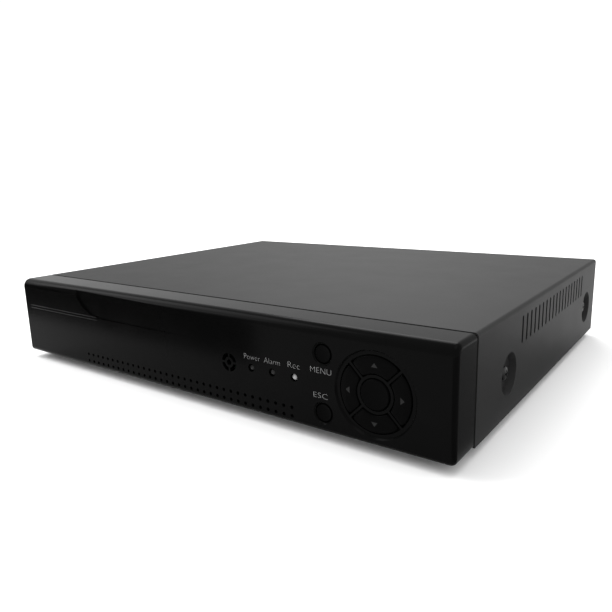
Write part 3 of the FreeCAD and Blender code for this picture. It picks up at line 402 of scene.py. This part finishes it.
def smoothCopy(name, node):
    # the CAD mesh with its loose triangles joined, so that its roundings shade smoothly
    source = frame["nodes"][node]
    mesh = source.data.copy()
    mesh.name = name
    shape = bmesh.new()
    shape.from_mesh(mesh)
    bmesh.ops.remove_doubles(shape, verts=shape.verts, dist=1e-7)
    # a sliver is thinner than 0.004 mm; its own direction is unsure, so it joins its
    # neighbour across its longest edge
    slivers = set()
    for face in shape.faces:
        longest = max(face.edges, key=lambda edge: edge.calc_length())
        if 2 * face.calc_area() < longest.calc_length() * 0.004 * mm:
            slivers.add(longest)
    bmesh.ops.dissolve_edges(shape, edges=list(slivers), use_verts=False)
    shape.normal_update()
    sloping = [max(map(abs, face.normal)) < 0.99995 for face in shape.faces]
    shape.to_mesh(mesh)
    shape.free()
    piece = bpy.data.objects.new(name, mesh)
    bpy.context.scene.collection.objects.link(piece)
    finishMesh(piece, slotOf[node], body_of(source)[0], [node], 30)
    mesh.polygons.foreach_set("use_smooth", sloping)    # level and upright faces stay flat


def softened(corners, size, steps=5):
    # straight runs whose inner corners become short curves, size long on each side:
    # (1 - t)^2 start + 2 t (1 - t) corner + t^2 end
    corners = np.array(corners, float)
    before, at, after = corners[:-2], corners[1:-1], corners[2:]

    def along(begin, end):
        way = end - begin
        length = np.maximum(np.linalg.norm(way, axis=1, keepdims=True), 1e-9)
        return begin + way * np.minimum(size / length, 0.45)

    t = np.linspace(0, 1, steps)[None, :, None]
    start, end = along(at, before)[:, None], along(at, after)[:, None]
    curve = (1 - t) ** 2 * start + 2 * t * (1 - t) * at[:, None] + t ** 2 * end
    return np.vstack([corners[:1], curve.reshape(-1, 2), corners[-1:]])


def placed(across, up, along, centre, axis):
    # the axis that a shape is carried along, with the other two in order
    order = {"x": (along, across, up), "y": (across, along, up), "z": (across, up, along)}
    grid = np.stack(np.broadcast_arrays(*order[axis]), axis=-1)
    return grid + np.array(centre, float)


def lathe(profile, centre, axis, steps=48):
    # a profile of (radius, distance along the axis) carried round the axis
    radius, along = np.array(profile, float).T[:, :, None]
    turn = np.linspace(0, 2 * np.pi, steps, endpoint=False)[None, :]
    return placed(radius * np.cos(turn), radius * np.sin(turn), along + 0 * turn, centre, axis)


def squareLoop(steps, power):
    # evenly round a square of half side 1, pulled in at the corners:
    # (u, v) / (|u|^p + |v|^p)^(1/p)
    s = np.linspace(0, 4, steps, endpoint=False)
    edge, f = np.floor(s), (s % 1) * 2 - 1
    u = np.select([edge == 0, edge == 1, edge == 2], [1 + 0 * f, -f, -1 + 0 * f], f)
    v = np.select([edge == 0, edge == 1, edge == 2], [f, 1 + 0 * f, -f], -1 + 0 * f)
    pull = (np.abs(u) ** power + np.abs(v) ** power) ** (1 / power)
    return u / pull, v / pull


def block(centre, size, axis="z", edge=0.2, power=40, steps=48):
    # a rounded box: a squared loop that draws in at both ends, closed at its middle
    wide, deep, high = size
    u, v = squareLoop(steps, power)
    # each row: scale of the loop, how far its edge draws in, distance along
    rows = np.array([(0, 0, 0), (1, edge, 0), (1, edge * 0.3, edge * 0.3), (1, 0, edge),
                     (1, 0, high - edge), (1, edge * 0.3, high - edge * 0.3),
                     (1, edge, high), (0, 0, high)], float)
    scale, inset, along = rows.T[:, :, None]
    return placed(scale * u * (wide / 2 - inset), scale * v * (deep / 2 - inset),
                  along + 0 * u, centre, axis)


def screwHead(centre, axis, sign, radius, high, cross):
    # a dome over a disk, h (1 - (r / R)^2)^0.5, with a cross sunk in where either arm's
    # distance is inside its half width
    r = np.concatenate([np.linspace(0, cross["reach"] * 1.15, 16),
                        np.linspace(cross["reach"] * 1.3, radius, 8)])[:, None]
    turn = np.linspace(0, 2 * np.pi, 96, endpoint=False)[None, :]
    a, b = r * np.cos(turn), r * np.sin(turn)
    dome = high * (0.35 + 0.65 * np.sqrt(np.clip(1 - (r / radius) ** 2, 0, 1))) + 0 * turn
    arm = np.minimum(np.abs(a), np.abs(b))
    inside = np.clip((cross["half"] - arm) / 0.12 + 0.5, 0, 1)
    inside = inside * np.clip((cross["reach"] - r) / 0.2 + 0.5, 0, 1)
    face = dome - cross["deep"] * inside
    rim = lathe([(radius, high * 0.35), (radius, 0), (0, 0)], (0, 0, 0), "z", 96)
    a = np.vstack([a, rim[1:, :, 0]])
    b = np.vstack([b, rim[1:, :, 1]])
    face = np.vstack([face, rim[1:, :, 2]])
    return placed(a, b, sign * face, centre, axis)


def alongPath(points, ring):
    # a closed ring of (across, up) offsets carried along a path; across is level
    points = np.array(points, float)
    ahead = np.gradient(points, axis=0)
    ahead /= np.linalg.norm(ahead, axis=1, keepdims=True)
    across = np.cross(ahead, (0.0, 0.0, 1.0))
    across /= np.linalg.norm(across, axis=1, keepdims=True)
    up = np.cross(across, ahead)
    offsetAcross, offsetUp = ring
    return (points[:, None] + across[:, None] * offsetAcross[..., None]
            + up[:, None] * offsetUp[..., None])


def capped(tube):
    # closes both ends of a tube at the middle of its end rings
    first, last = tube[:1].mean(axis=1, keepdims=True), tube[-1:].mean(axis=1, keepdims=True)
    return np.concatenate([first + 0 * tube[:1], tube, last + 0 * tube[-1:]])


slotOf = {row["node"]: row["material_slot"] for row in frame["record"]["subparts"]}
print("shape tools ready")

# casing: the CAD shapes, shaded smoothly
for name, node in (("coverShell", "top_cover"), ("trayShell", "base_tray"),
                   ("bezelCap", "front_bezel")):
    smoothCopy(name, node)

feet = {
    "across": 105.0,
    "back": (16.0, 171.0),     # behind the seam
    "radius": 7.0,
    "high": 4.0,
    "groove": 0.35,
    "stem": 2.45,
    "bead": 3.2,
}


def makeFeet(facts):
    # a lathe profile: slightly dished sole, rounded edge, a groove, then the stem and its bead
    r, h, g = facts["radius"], facts["high"], facts["groove"]
    stem, bead = facts["stem"], facts["bead"]
    profile = softened([(0, 0.5), (r - 3.5, 0.45), (r - 3, 0), (r - 0.9, 0), (r - 0.4, h * 0.35),
                        (r - 0.4 - g, h * 0.42), (r - 0.3, h * 0.5), (r - 0.1, h - 0.6),
                        (r - 0.1, h), (stem, h), (stem, h + 0.8), (bead, h + 0.8),
                        (3.0, h + 1.5), (2.2, h + 1.8), (0, h + 1.8)], 0.35, 4)
    for across, sideName in ((-facts["across"], "left"), (facts["across"], "right")):
        for back, endName in zip(facts["back"], ("front", "rear")):
            makePiece(f"{endName}{sideName.title()}Foot",
                      [lathe(profile, (across, seam + back, 0), "z", 64)], "rubber",
                      replaced=[f"foot_{endName}_{sideName}"])


coverScrews = {
    "back": (34.2, 166.9),     # behind the seam
    "level": 16.7,             # above the case's lowest edge
    "sunk": 2.5,
    "radius": 2.8,
    "high": 1.7,
    "shank": 5.0,
    "shankRadius": 1.45,
    "cross": {"half": 0.42, "reach": 1.5, "deep": 0.9},
}


def makeCoverScrews(facts):
    # a head in each of the four dishes, with its shank reaching inwards
    shank, thin = facts["shank"], facts["shankRadius"]
    grids = []
    for sign in (-1, 1):
        for back in facts["back"]:
            seat = (sign * (side - facts["sunk"]), seam + back, bottom + facts["level"])
            grids.append(screwHead(seat, "x", sign, facts["radius"], facts["high"],
                                   facts["cross"]))
            grids.append(lathe([(0, 0.1 * sign), (thin, 0.1 * sign), (thin, -sign * shank),
                                (0, -sign * shank)], seat, "x", 24))
    makePiece("coverScrews", grids, "screw_black", replaced=["cover_screws"], sharp=40)


makeFeet(feet)
makeCoverScrews(coverScrews)
print("casing, feet and screws made")

roundKeys = {
    # node: name, across, level above the case's lowest edge, radius
    "menu": ("menuKey", 76.7, 30.2, 3.5),
    "escape": ("escapeKey", 76.7, 7.6, 3.5),
    "enter": ("enterKey", 98.0, 18.9, 5.7),
}
keyShape = {"proud": 0.3, "dish": 0.35, "edge": 0.45, "wall": 2.3, "flange": 0.8,
            "brim": 0.7, "post": 1.9}


def makeRoundKeys(rows, facts):
    # a lathe profile: dished face, rounded edge, skirt, flange behind the bezel and post
    for key, (name, across, level, radius) in rows.items():
        face = front + facts["proud"]
        back = span(f"{key}_button")[1][1]
        flange = front + facts["wall"]
        dish = [(radius * k, face + facts["dish"] * (1 - k ** 2)) for k in (0, 0.3, 0.6, 0.8)]
        profile = softened(dish + [
            (radius - 0.3, face), (radius, face + facts["edge"]), (radius, flange),
            (radius + facts["brim"], flange), (radius + facts["brim"], flange + facts["flange"]),
            (facts["post"], flange + facts["flange"]), (facts["post"], back), (0, back)], 0.15, 4)
        makePiece(name, [lathe(profile, (across, 0, bottom + level), "y", 72)], "key_plastic",
                  body=f"{key}_key", replaced=[f"{key}_button"], sharp=50)


arrowPad = {
    "across": 98.0,
    "level": 18.9,
    "inner": 7.5,
    "outer": 14.0,
    "rib": 0.8,                # half the gap between two petals
    "proud": 0.4,
    "dome": 0.25,
    "flange": 0.8,
    "brim": 0.9,
    "brimGap": 0.3,            # half the gap between two flanges
    "wall": 2.3,
    "postAt": 10.5,
    "post": 1.9,
    "mark": 1.15,
}
arrowTurns = {"right": 0, "up": 90, "left": 180, "down": 270}


def petalLoop(u, v, facts, grow, rib):
    # u runs from the inner to the outer radius, v across the quarter:
    # r = middle + u half, angle = v (45 degrees - asin(rib / r))
    half = (facts["outer"] - facts["inner"]) / 2 + grow
    r = (facts["outer"] + facts["inner"]) / 2 + u * half
    angle = v * (np.pi / 4 - np.arcsin(rib / r))
    return r * np.cos(angle), r * np.sin(angle)


def turned(a, b, degrees):
    c, s = math.cos(math.radians(degrees)), math.sin(math.radians(degrees))
    return a * c - b * s, a * s + b * c


def makeArrowPad(facts):
    # each petal is a stack of loops: a slightly domed face, rounded edge, skirt and flange
    u, v = squareLoop(96, 9)
    face = front + facts["proud"]
    flange, flangeBack = front + facts["wall"], front + facts["wall"] + facts["flange"]
    brim, gap = facts["brim"], facts["brimGap"]
    # scale of the loop, growth of its edge, half gap at its ribs, distance back
    rows = [(k, -0.35, facts["rib"] + 0.35, face - facts["dome"] * (1 - k ** 2) + 0.1)
            for k in np.linspace(0, 1, 7)]
    rows += [(1, -0.15, facts["rib"] + 0.15, face + 0.17), (1, 0, facts["rib"], face + 0.4),
             (1, 0, facts["rib"], flange), (1, brim, gap, flange),
             (1, brim, gap, flangeBack), (0, brim, gap, flangeBack)]
    centre = (facts["across"], 0, bottom + facts["level"])
    for arrow, degrees in arrowTurns.items():
        loops = []
        for scale, grow, rib, along in rows:
            a, b = petalLoop(u * scale, v * scale, facts, grow, rib)
            a, b = turned(a, b, degrees)
            loops.append(placed(a, b, along + 0 * a, centre, "y"))
        back = span(f"{arrow}_button")[1][1]
        a, b = turned(facts["postAt"], 0, degrees)
        post = lathe([(0, flange + 0.2), (facts["post"], flange + 0.2), (facts["post"], back),
                      (0, back)], (centre[0] + a, 0, centre[2] + b), "y", 24)
        makePiece(f"{arrow}Petal", [np.stack(loops), post], "key_plastic",
                  body=f"{arrow}_key", replaced=[f"{arrow}_button"], sharp=50)
        # a three-cornered mark in polar form: r = m / cos((angle mod 120) - 60)
        turn = np.linspace(0, 2 * np.pi, 48, endpoint=False)
        reach = facts["mark"] * 0.62 / np.cos(turn % (2 * np.pi / 3) - np.pi / 3)
        level = face - facts["dome"] + 0.1
        stack = []
        for scale, along in ((0, -0.03), (1, -0.03), (1, 0.2), (0, 0.2)):
            a, b = reach * np.cos(turn) * scale * 0.75, reach * np.sin(turn) * scale
            a, b = turned(a + facts["postAt"], b, degrees)
            stack.append(placed(a, b, level + along + 0 * a, centre, "y"))
        makePiece(f"{arrow}Mark", [np.stack(stack)], "greyPrint", body=f"{arrow}_key")


makeRoundKeys(roundKeys, keyShape)
makeArrowPad(arrowPad)
for key in ("menu", "escape", "enter", "up", "down", "left", "right"):
    smoothCopy(f"{key}Stem", f"{key}_switch_stem")
print("keys made")

lamps = {
    # node: name, across
    "power_lamp": ("powerLamp", 42.1),
    "alarm_lamp": ("alarmLamp", 52.8),
    "record_lamp": ("recordLamp", 63.5),
}
lampShape = {"level": 18.9, "radius": 1.5, "proud": 0.2, "spacer": 4.0,
             "spacerRadius": 2.0}


def makeLamps(rows, facts):
    # a half sphere, (R sin a, R (1 - cos a)), on a stalk that stands on a spacer
    r, tip = facts["radius"], front + facts["proud"]
    a = np.linspace(0, np.pi / 2, 12)
    dome = list(zip(r * np.sin(a), tip + r * (1 - np.cos(a))))
    spacer, wide = panel - facts["spacer"], facts["spacerRadius"]
    profile = dome + [(r, spacer), (wide, spacer), (wide, panel), (0, panel)]
    for node, (name, across) in rows.items():
        makePiece(name, [lathe(profile, (across, 0, bottom + facts["level"]), "y", 48)],
                  slotOf[node], replaced=[node], sharp=50)


receiver = {
    "across": 30.0,
    "level": 19.2,
    "block": (6.0, 7.0, 4.0),
    "lens": 2.6,
    "bulge": 1.6,
    "tip": 2.8,                # behind the bezel's face
}


def makeReceiver(facts):
    # a moulded block, and a lens that bulges as a flattened half sphere towards the window
    centre = (facts["across"], 0, bottom + facts["level"])
    wide, high, deep = facts["block"]
    body = block((centre[0], panel - deep, centre[2]), (wide, high, deep), "y", 0.3)
    a = np.linspace(0, np.pi / 2, 14)
    r = facts["lens"]
    tip = front + facts["tip"]
    dome = list(zip(r * np.sin(a), tip + facts["bulge"] * (1 - np.cos(a))))
    lens = lathe(dome + [(r, panel - deep + 0.4), (0, panel - deep + 0.4)], centre, "y", 48)
    makePiece("infraredReceiver", [body, lens], slotOf["infrared_receiver"],
              replaced=["infrared_receiver"], sharp=50)


makeLamps(lamps, lampShape)
makeReceiver(receiver)
print("lamps and receiver made")

prints = {
    # words: left end, baseline above the case's lowest edge, height of a capital, width
    "Power": (38.6, 22.3, 2.45, 8.3),
    "Alarm": (49.0, 22.3, 2.45, 7.9),
    "Rec": (60.8, 22.5, 2.6, 5.7),
    "MENU": (71.3, 22.7, 2.4, 9.2),
    "ESC": (72.5, 13.2, 2.2, 6.4),
}


# in the font's own units: half the thickness, thinner strokes, a capital's height; then the
# millimetres that a unit of thickness becomes, and the gap behind the print
lettering = {"half": 0.02, "strokes": -0.03, "capital": 0.73, "thick": 0.5, "gap": 0.005}


def makePrints(rows, facts):
    # the words are text made into meshes, then scaled and stood on the face, 0.02 mm thick
    for words, (left, base, high, wide) in rows.items():
        curve = bpy.data.curves.new(f"{words}Text", "FONT")
        curve.body = words
        curve.size = 1.0
        curve.extrude = facts["half"]
        curve.offset = facts["strokes"]
        text = bpy.data.objects.new(f"{words}Text", curve)
        bpy.context.scene.collection.objects.link(text)
        bpy.context.view_layer.update()
        mesh = bpy.data.meshes.new_from_object(text)
        bpy.data.objects.remove(text)
        points = np.empty(len(mesh.vertices) * 3, np.float32)
        mesh.vertices.foreach_get("co", points)
        x, y, z = points.reshape(-1, 3).T
        x = left + (x - x.min()) * wide / (x.max() - x.min())
        placedPoints = np.stack([x, front - facts["gap"] - (z + facts["half"]) * facts["thick"],
                                 bottom + base + y * high / facts["capital"]], axis=-1) * mm
        mesh.vertices.foreach_set("co", placedPoints.astype(np.float32).ravel())
        shape = bmesh.new()
        shape.from_mesh(mesh)
        bmesh.ops.remove_doubles(shape, verts=shape.verts, dist=1e-7)
        bmesh.ops.recalc_face_normals(shape, faces=shape.faces)
        shape.to_mesh(mesh)
        shape.free()
        label = bpy.data.objects.new(f"label{words.title()}", mesh)
        bpy.context.scene.collection.objects.link(label)
        finishMesh(label, "whitePrint", "chassis", [])


stripes = {"from": -121.0, "to": -60.0, "levels": (27.0, 25.6), "high": 0.35,
           "thick": 0.04, "sunk": 0.01}


def makeStripes(facts):
    # two fine printed lines at the left, each a thin rounded bar let into the face
    centre = (facts["from"] + facts["to"]) / 2
    wide = facts["to"] - facts["from"]
    face = front + facts["sunk"] - facts["thick"]
    bars = [block((centre, face, bottom + level), (wide, facts["high"], facts["thick"]), "y",
                  0.01, 12) for level in facts["levels"]]
    makePiece("pinStripes", bars, "faintPrint")


makePrints(prints, lettering)
makeStripes(stripes)
print("printing made")

coaxJacks = {
    "first": 53.0,
    "pitch": 17.0,
    "count": 4,
    "levels": (15.5, 31.5),    # above the case's lowest edge
    "collar": 6.05,
    "collarProud": 1.2,
    "barrel": 4.6,
    "nose": 4.8,
    "noseLong": 4.05,
    "bore": 4.05,
    "reach": 11.0,             # behind the rear panel
    "lug": {"radius": 0.9, "out": 5.6, "back": 6.0},
    "seat": 9.0,
    "tube": 2.4,
    "pin": 1.1,
    "socket": 0.7,
}


def makeCoaxJacks(facts):
    # each jack is three lathe profiles: a shell with two lugs, its insulator and its contact
    start = span("coax_shells")[0][1]
    end = rear + facts["reach"]
    nose = end - facts["noseLong"]
    bore, pin = facts["bore"], facts["pin"]
    shell = softened([
        (bore, start), (facts["collar"], start), (facts["collar"], rear + facts["collarProud"]),
        (facts["barrel"], rear + facts["collarProud"]), (facts["barrel"], nose),
        (facts["nose"], nose), (facts["nose"], end), (bore + 0.15, end), (bore, end - 0.3),
        (bore, start)], 0.18, 3)
    insulator = softened([
        (pin + 0.05, start), (bore - 0.05, start), (bore - 0.05, start + facts["seat"]),
        (facts["tube"], start + facts["seat"]), (facts["tube"], end - 1.5),
        (pin + 0.05, end - 1.5), (pin + 0.05, start)], 0.2, 3)
    contact = softened([
        (0, start), (pin, start), (pin, end - 2), (facts["socket"], end - 2),
        (facts["socket"], end - 7), (0, end - 7)], 0.12, 3)
    lug = facts["lug"]
    stub = softened([(0, bore + 0.2), (lug["radius"], bore + 0.2), (lug["radius"], lug["out"]),
                     (0, lug["out"])], 0.25, 4)
    shells, insulators, contacts = [], [], []
    for column in range(facts["count"]):
        for level in facts["levels"]:
            at = (facts["first"] + column * facts["pitch"], 0, bottom + level)
            shells.append(lathe(shell, at, "y", 64))
            for sign in (-1, 1):
                seat = (at[0], rear + lug["back"], at[2])
                shells.append(lathe(stub * (1, sign), seat, "z", 24))
            insulators.append(lathe(insulator, at, "y", 48))
            contacts.append(lathe(contact, at, "y", 32))
    makePiece("coaxShells", shells, "nickel", replaced=["coax_shells"])
    makePiece("coaxInsulators", insulators, "jack_insulator", replaced=["coax_insulators"])
    makePiece("coaxContacts", contacts, "gold_contact", replaced=["coax_contacts"])


audioJacks = {
    "across": 28.0,
    "levels": (14.6, 28.6),
    "plug": 3.6,
    "tube": 4.15,
    "reach": 9.0,
    "mouth": 3.2,
    "bore": 1.6,
    "collar": 1.3,             # out from the tube
    "collarEnd": 0.9,          # behind the rear panel
}


def makeAudioJacks(facts):
    # a lathe profile: plug in the block, tube behind the panel, turned-in lip and centre bore
    start = span("audio_shells")[0][1]
    end = rear + facts["reach"]
    tube = softened([
        (0, start), (facts["plug"], start), (facts["plug"], rear - 0.8),
        (facts["tube"], rear - 0.8), (facts["tube"], end), (facts["mouth"], end),
        (facts["mouth"], end - 0.5), (facts["bore"] + 0.3, end - 0.5),
        (facts["bore"], end - 0.7), (facts["bore"], rear - 2), (0, rear - 2)], 0.2, 4)
    inner, outer = facts["tube"] + 0.02, facts["tube"] + facts["collar"]
    near, far = rear + 0.05, rear + facts["collarEnd"]
    collar = softened([(inner, near), (outer, near), (outer, far), (inner, far),
                       (inner, near)], 0.2, 4)
    places = [(facts["across"], 0, bottom + level) for level in facts["levels"]]
    makePiece("audioShells", [lathe(tube, at, "y", 64) for at in places], "nickel",
              replaced=["audio_shells"])
    makePiece("audioCollars", [lathe(collar, at, "y", 64) for at in places], "jack_insulator")


networkContacts = {
    "across": -50.0,
    "count": 8,
    "pitch": 1.02,
    "thick": 0.2,
    "inside": 2.4,             # from the rear panel's outer face
    "long": 10.2,
    "high": 8.9,               # above the board
    "dip": 2.2,
}


def makeNetworkContacts(facts):
    # eight sprung wires, each a round section carried along a path that dips towards the mouth
    run = np.linspace(0, 1, 24)
    turn = np.linspace(0, 2 * np.pi, 10, endpoint=False)
    ring = (facts["thick"] * np.cos(turn), facts["thick"] * np.sin(turn))
    wires = []
    for i in range(facts["count"]):
        x = facts["across"] + (i - (facts["count"] - 1) / 2) * facts["pitch"]
        path = np.stack([x + 0 * run, rear - facts["inside"] - facts["long"] * run,
                         boardTop + facts["high"] - facts["dip"] * run ** 1.5], axis=-1)
        wires.append(capped(alongPath(path, ring)))
    makePiece("networkContacts", wires, "gold_contact")


capacitors = {
    "across": (-108, -106, -74, -72, 24, 34),
    "back": (120.0, 132.0),    # behind the seam, in turn
    "radius": 4.0,
    "high": 9.0,
    "vent": {"half": 0.14, "reach": 2.2, "deep": 0.2},
}


def makeCapacitors(facts):
    # a sleeve with a crimped groove near its foot and a rolled rim, round a scored metal top
    r, h = facts["radius"], facts["high"]
    sleeve = softened([(0, 0), (r, 0), (r, 1), (r - 0.35, 1.35), (r, 1.7), (r, h),
                       (r - 0.8, h), (r - 0.95, h - 0.35), (0, h - 0.35)], 0.3, 4)
    sleeves, tops = [], []
    for i, across in enumerate(facts["across"]):
        at = (across, seam + facts["back"][i % 2], boardTop)
        sleeves.append(lathe(sleeve, at, "z", 40))
        tops.append(screwHead((at[0], at[1], boardTop + h - 0.5), "z", 1, r - 1.0, 0.35,
                              facts["vent"]))
    makePiece("capacitorSleeves", sleeves, "can_sleeve", replaced=["capacitors"])
    makePiece("capacitorTops", tops, "bare_aluminium")


boardChips = {
    # across, behind the seam, wide, deep, high, legs on each side, legs on each end
    "memory": [(12, 128, 9, 13, 1.2, 9, 0), (12, 146, 9, 13, 1.2, 9, 0)],
    "video": [(48, 156, 14, 14, 1.4, 16, 16), (76, 156, 14, 14, 1.4, 16, 16),
              (104, 156, 14, 14, 1.4, 16, 16)],
    "power": [(-66, 150, 10, 16, 3, 6, 0), (-88, 128, 10, 10, 4.5, 0, 0),
              (-88, 144, 10, 10, 4.5, 0, 0)],
}


# the legs' middle row away from the body, their reach and width; then their height and
# spread as shares of the chip's own
legShape = {"away": 0.3, "reach": 0.9, "wide": 0.35, "high": 0.45, "spread": 0.42}


def makeBoardChips(rows, facts):
    # rounded blocks, and the legs as small blocks that reach out from each side to the board
    away, reach, thin, spread = (facts[k] for k in ("away", "reach", "wide", "spread"))
    bodies, legs = [], []
    for kind in rows.values():
        for across, back, wide, deep, high, sideLegs, endLegs in kind:
            at = (across, seam + back, boardTop + 0.05)
            bodies.append(block(at, (wide, deep, high - 0.05), "z", 0.25))
            tall = high * facts["high"]
            for sign in (-1, 1):
                for step in np.linspace(-spread, spread, sideLegs):
                    foot = (across + sign * (wide / 2 + away), at[1] + step * deep, boardTop)
                    legs.append(block(foot, (reach, thin, tall), "z", 0.05, 40, 8))
                for step in np.linspace(-spread, spread, endLegs):
                    foot = (across + step * wide, at[1] + sign * (deep / 2 + away), boardTop)
                    legs.append(block(foot, (thin, reach, tall), "z", 0.05, 40, 8))
    makePiece("boardChips", bodies, "epoxy", replaced=["board_chips"])
    makePiece("chipLegs", legs, "screw_zinc")


platter = {"radius": 47.5, "thick": 1.3, "bore": 3.05, "hub": 12.5, "deck": 5.0,
           "clampScrews": 6, "screwCircle": 9.0, "screwRadius": 1.3}


def makePlatter(facts):
    # the disk and its hub are lathe profiles; the clamp's screws stand on a circle
    low, high = span("disk_platter")
    centre = ((low[0] + high[0]) / 2, (low[1] + high[1]) / 2, 0)
    deck, crown = low[2] + facts["deck"], high[2]
    outer, bore, wide = facts["radius"], facts["bore"], facts["hub"]
    face = deck + facts["thick"]
    disk = softened([(wide - 1, deck), (outer, deck), (outer, face), (wide - 1, face),
                     (wide - 1, deck)], 0.15, 3)
    hub = softened([(bore, low[2]), (wide, low[2]), (wide, crown - 1.2),
                    (wide - 1.5, crown - 0.6), (wide - 5.5, crown - 0.6), (wide - 6.5, crown),
                    (bore, crown), (bore, low[2])], 0.3, 4)
    turns = np.arange(facts["clampScrews"]) * 2 * math.pi / facts["clampScrews"]
    away = facts["screwCircle"]
    heads = [screwHead((centre[0] + away * math.cos(t), centre[1] + away * math.sin(t),
                        crown - 0.7), "z", 1, facts["screwRadius"], 0.6,
                       {"half": 0.22, "reach": 0.8, "deep": 0.35}) for t in turns]
    makePiece("platterDisk", [lathe(disk, centre, "z", 160)], "mirror_disk", body="platter",
              replaced=["disk_platter"])
    makePiece("platterHub", [lathe(hub, centre, "z", 64)] + heads, "bare_aluminium",
              body="platter")


diskLid = {"edge": 0.4, "rise": 0.5, "border": 7.0, "screwHigh": 1.0, "screwRadius": 2.4,
           "screwIn": 3.4}


def makeDiskLid(facts):
    # a rounded plate with a pressed field, and six screws round its edge
    low, high = span("disk_lid")
    middle = ((low[0] + high[0]) / 2, (low[1] + high[1]) / 2)
    wide, deep, thick = high - low
    border = facts["border"]
    plate = block((*middle, low[2]), (wide, deep, thick), "z", facts["edge"], 60, 160)
    field = block((*middle, high[2] - 0.2), (wide - 2 * border, deep - 2 * border,
                                             facts["rise"] + 0.2), "z", 0.45, 24, 160)
    across, along = wide / 2 - facts["screwIn"], deep / 2 - facts["screwIn"]
    heads = [screwHead((middle[0] + a * across, middle[1] + b * along, high[2]), "z", 1,
                       facts["screwRadius"], facts["screwHigh"], coverScrews["cross"])
             for a, b in ((-1, -1), (0, -1), (1, -1), (-1, 1), (0, 1), (1, 1))]
    makePiece("diskLid", [plate, field], "brushed_lid", replaced=["disk_lid"])
    makePiece("diskLidScrews", heads, "screw_zinc")


makeCoaxJacks(coaxJacks)
makeAudioJacks(audioJacks)
makeNetworkContacts(networkContacts)
makeCapacitors(capacitors)
makeBoardChips(boardChips, legShape)
makePlatter(platter)
makeDiskLid(diskLid)
print("jacks, board parts and disk made")

# whatever isn't replaced above keeps its own shape, shaded smoothly
for node, piece in frame["nodes"].items():
    if not piece.hide_render:
        words = node.split("_")
        name = words[0] + "".join(word.title() for word in words[1:])
        smoothCopy(f"{name}Body" if name == node else name, node)
print("everything inside and behind made")
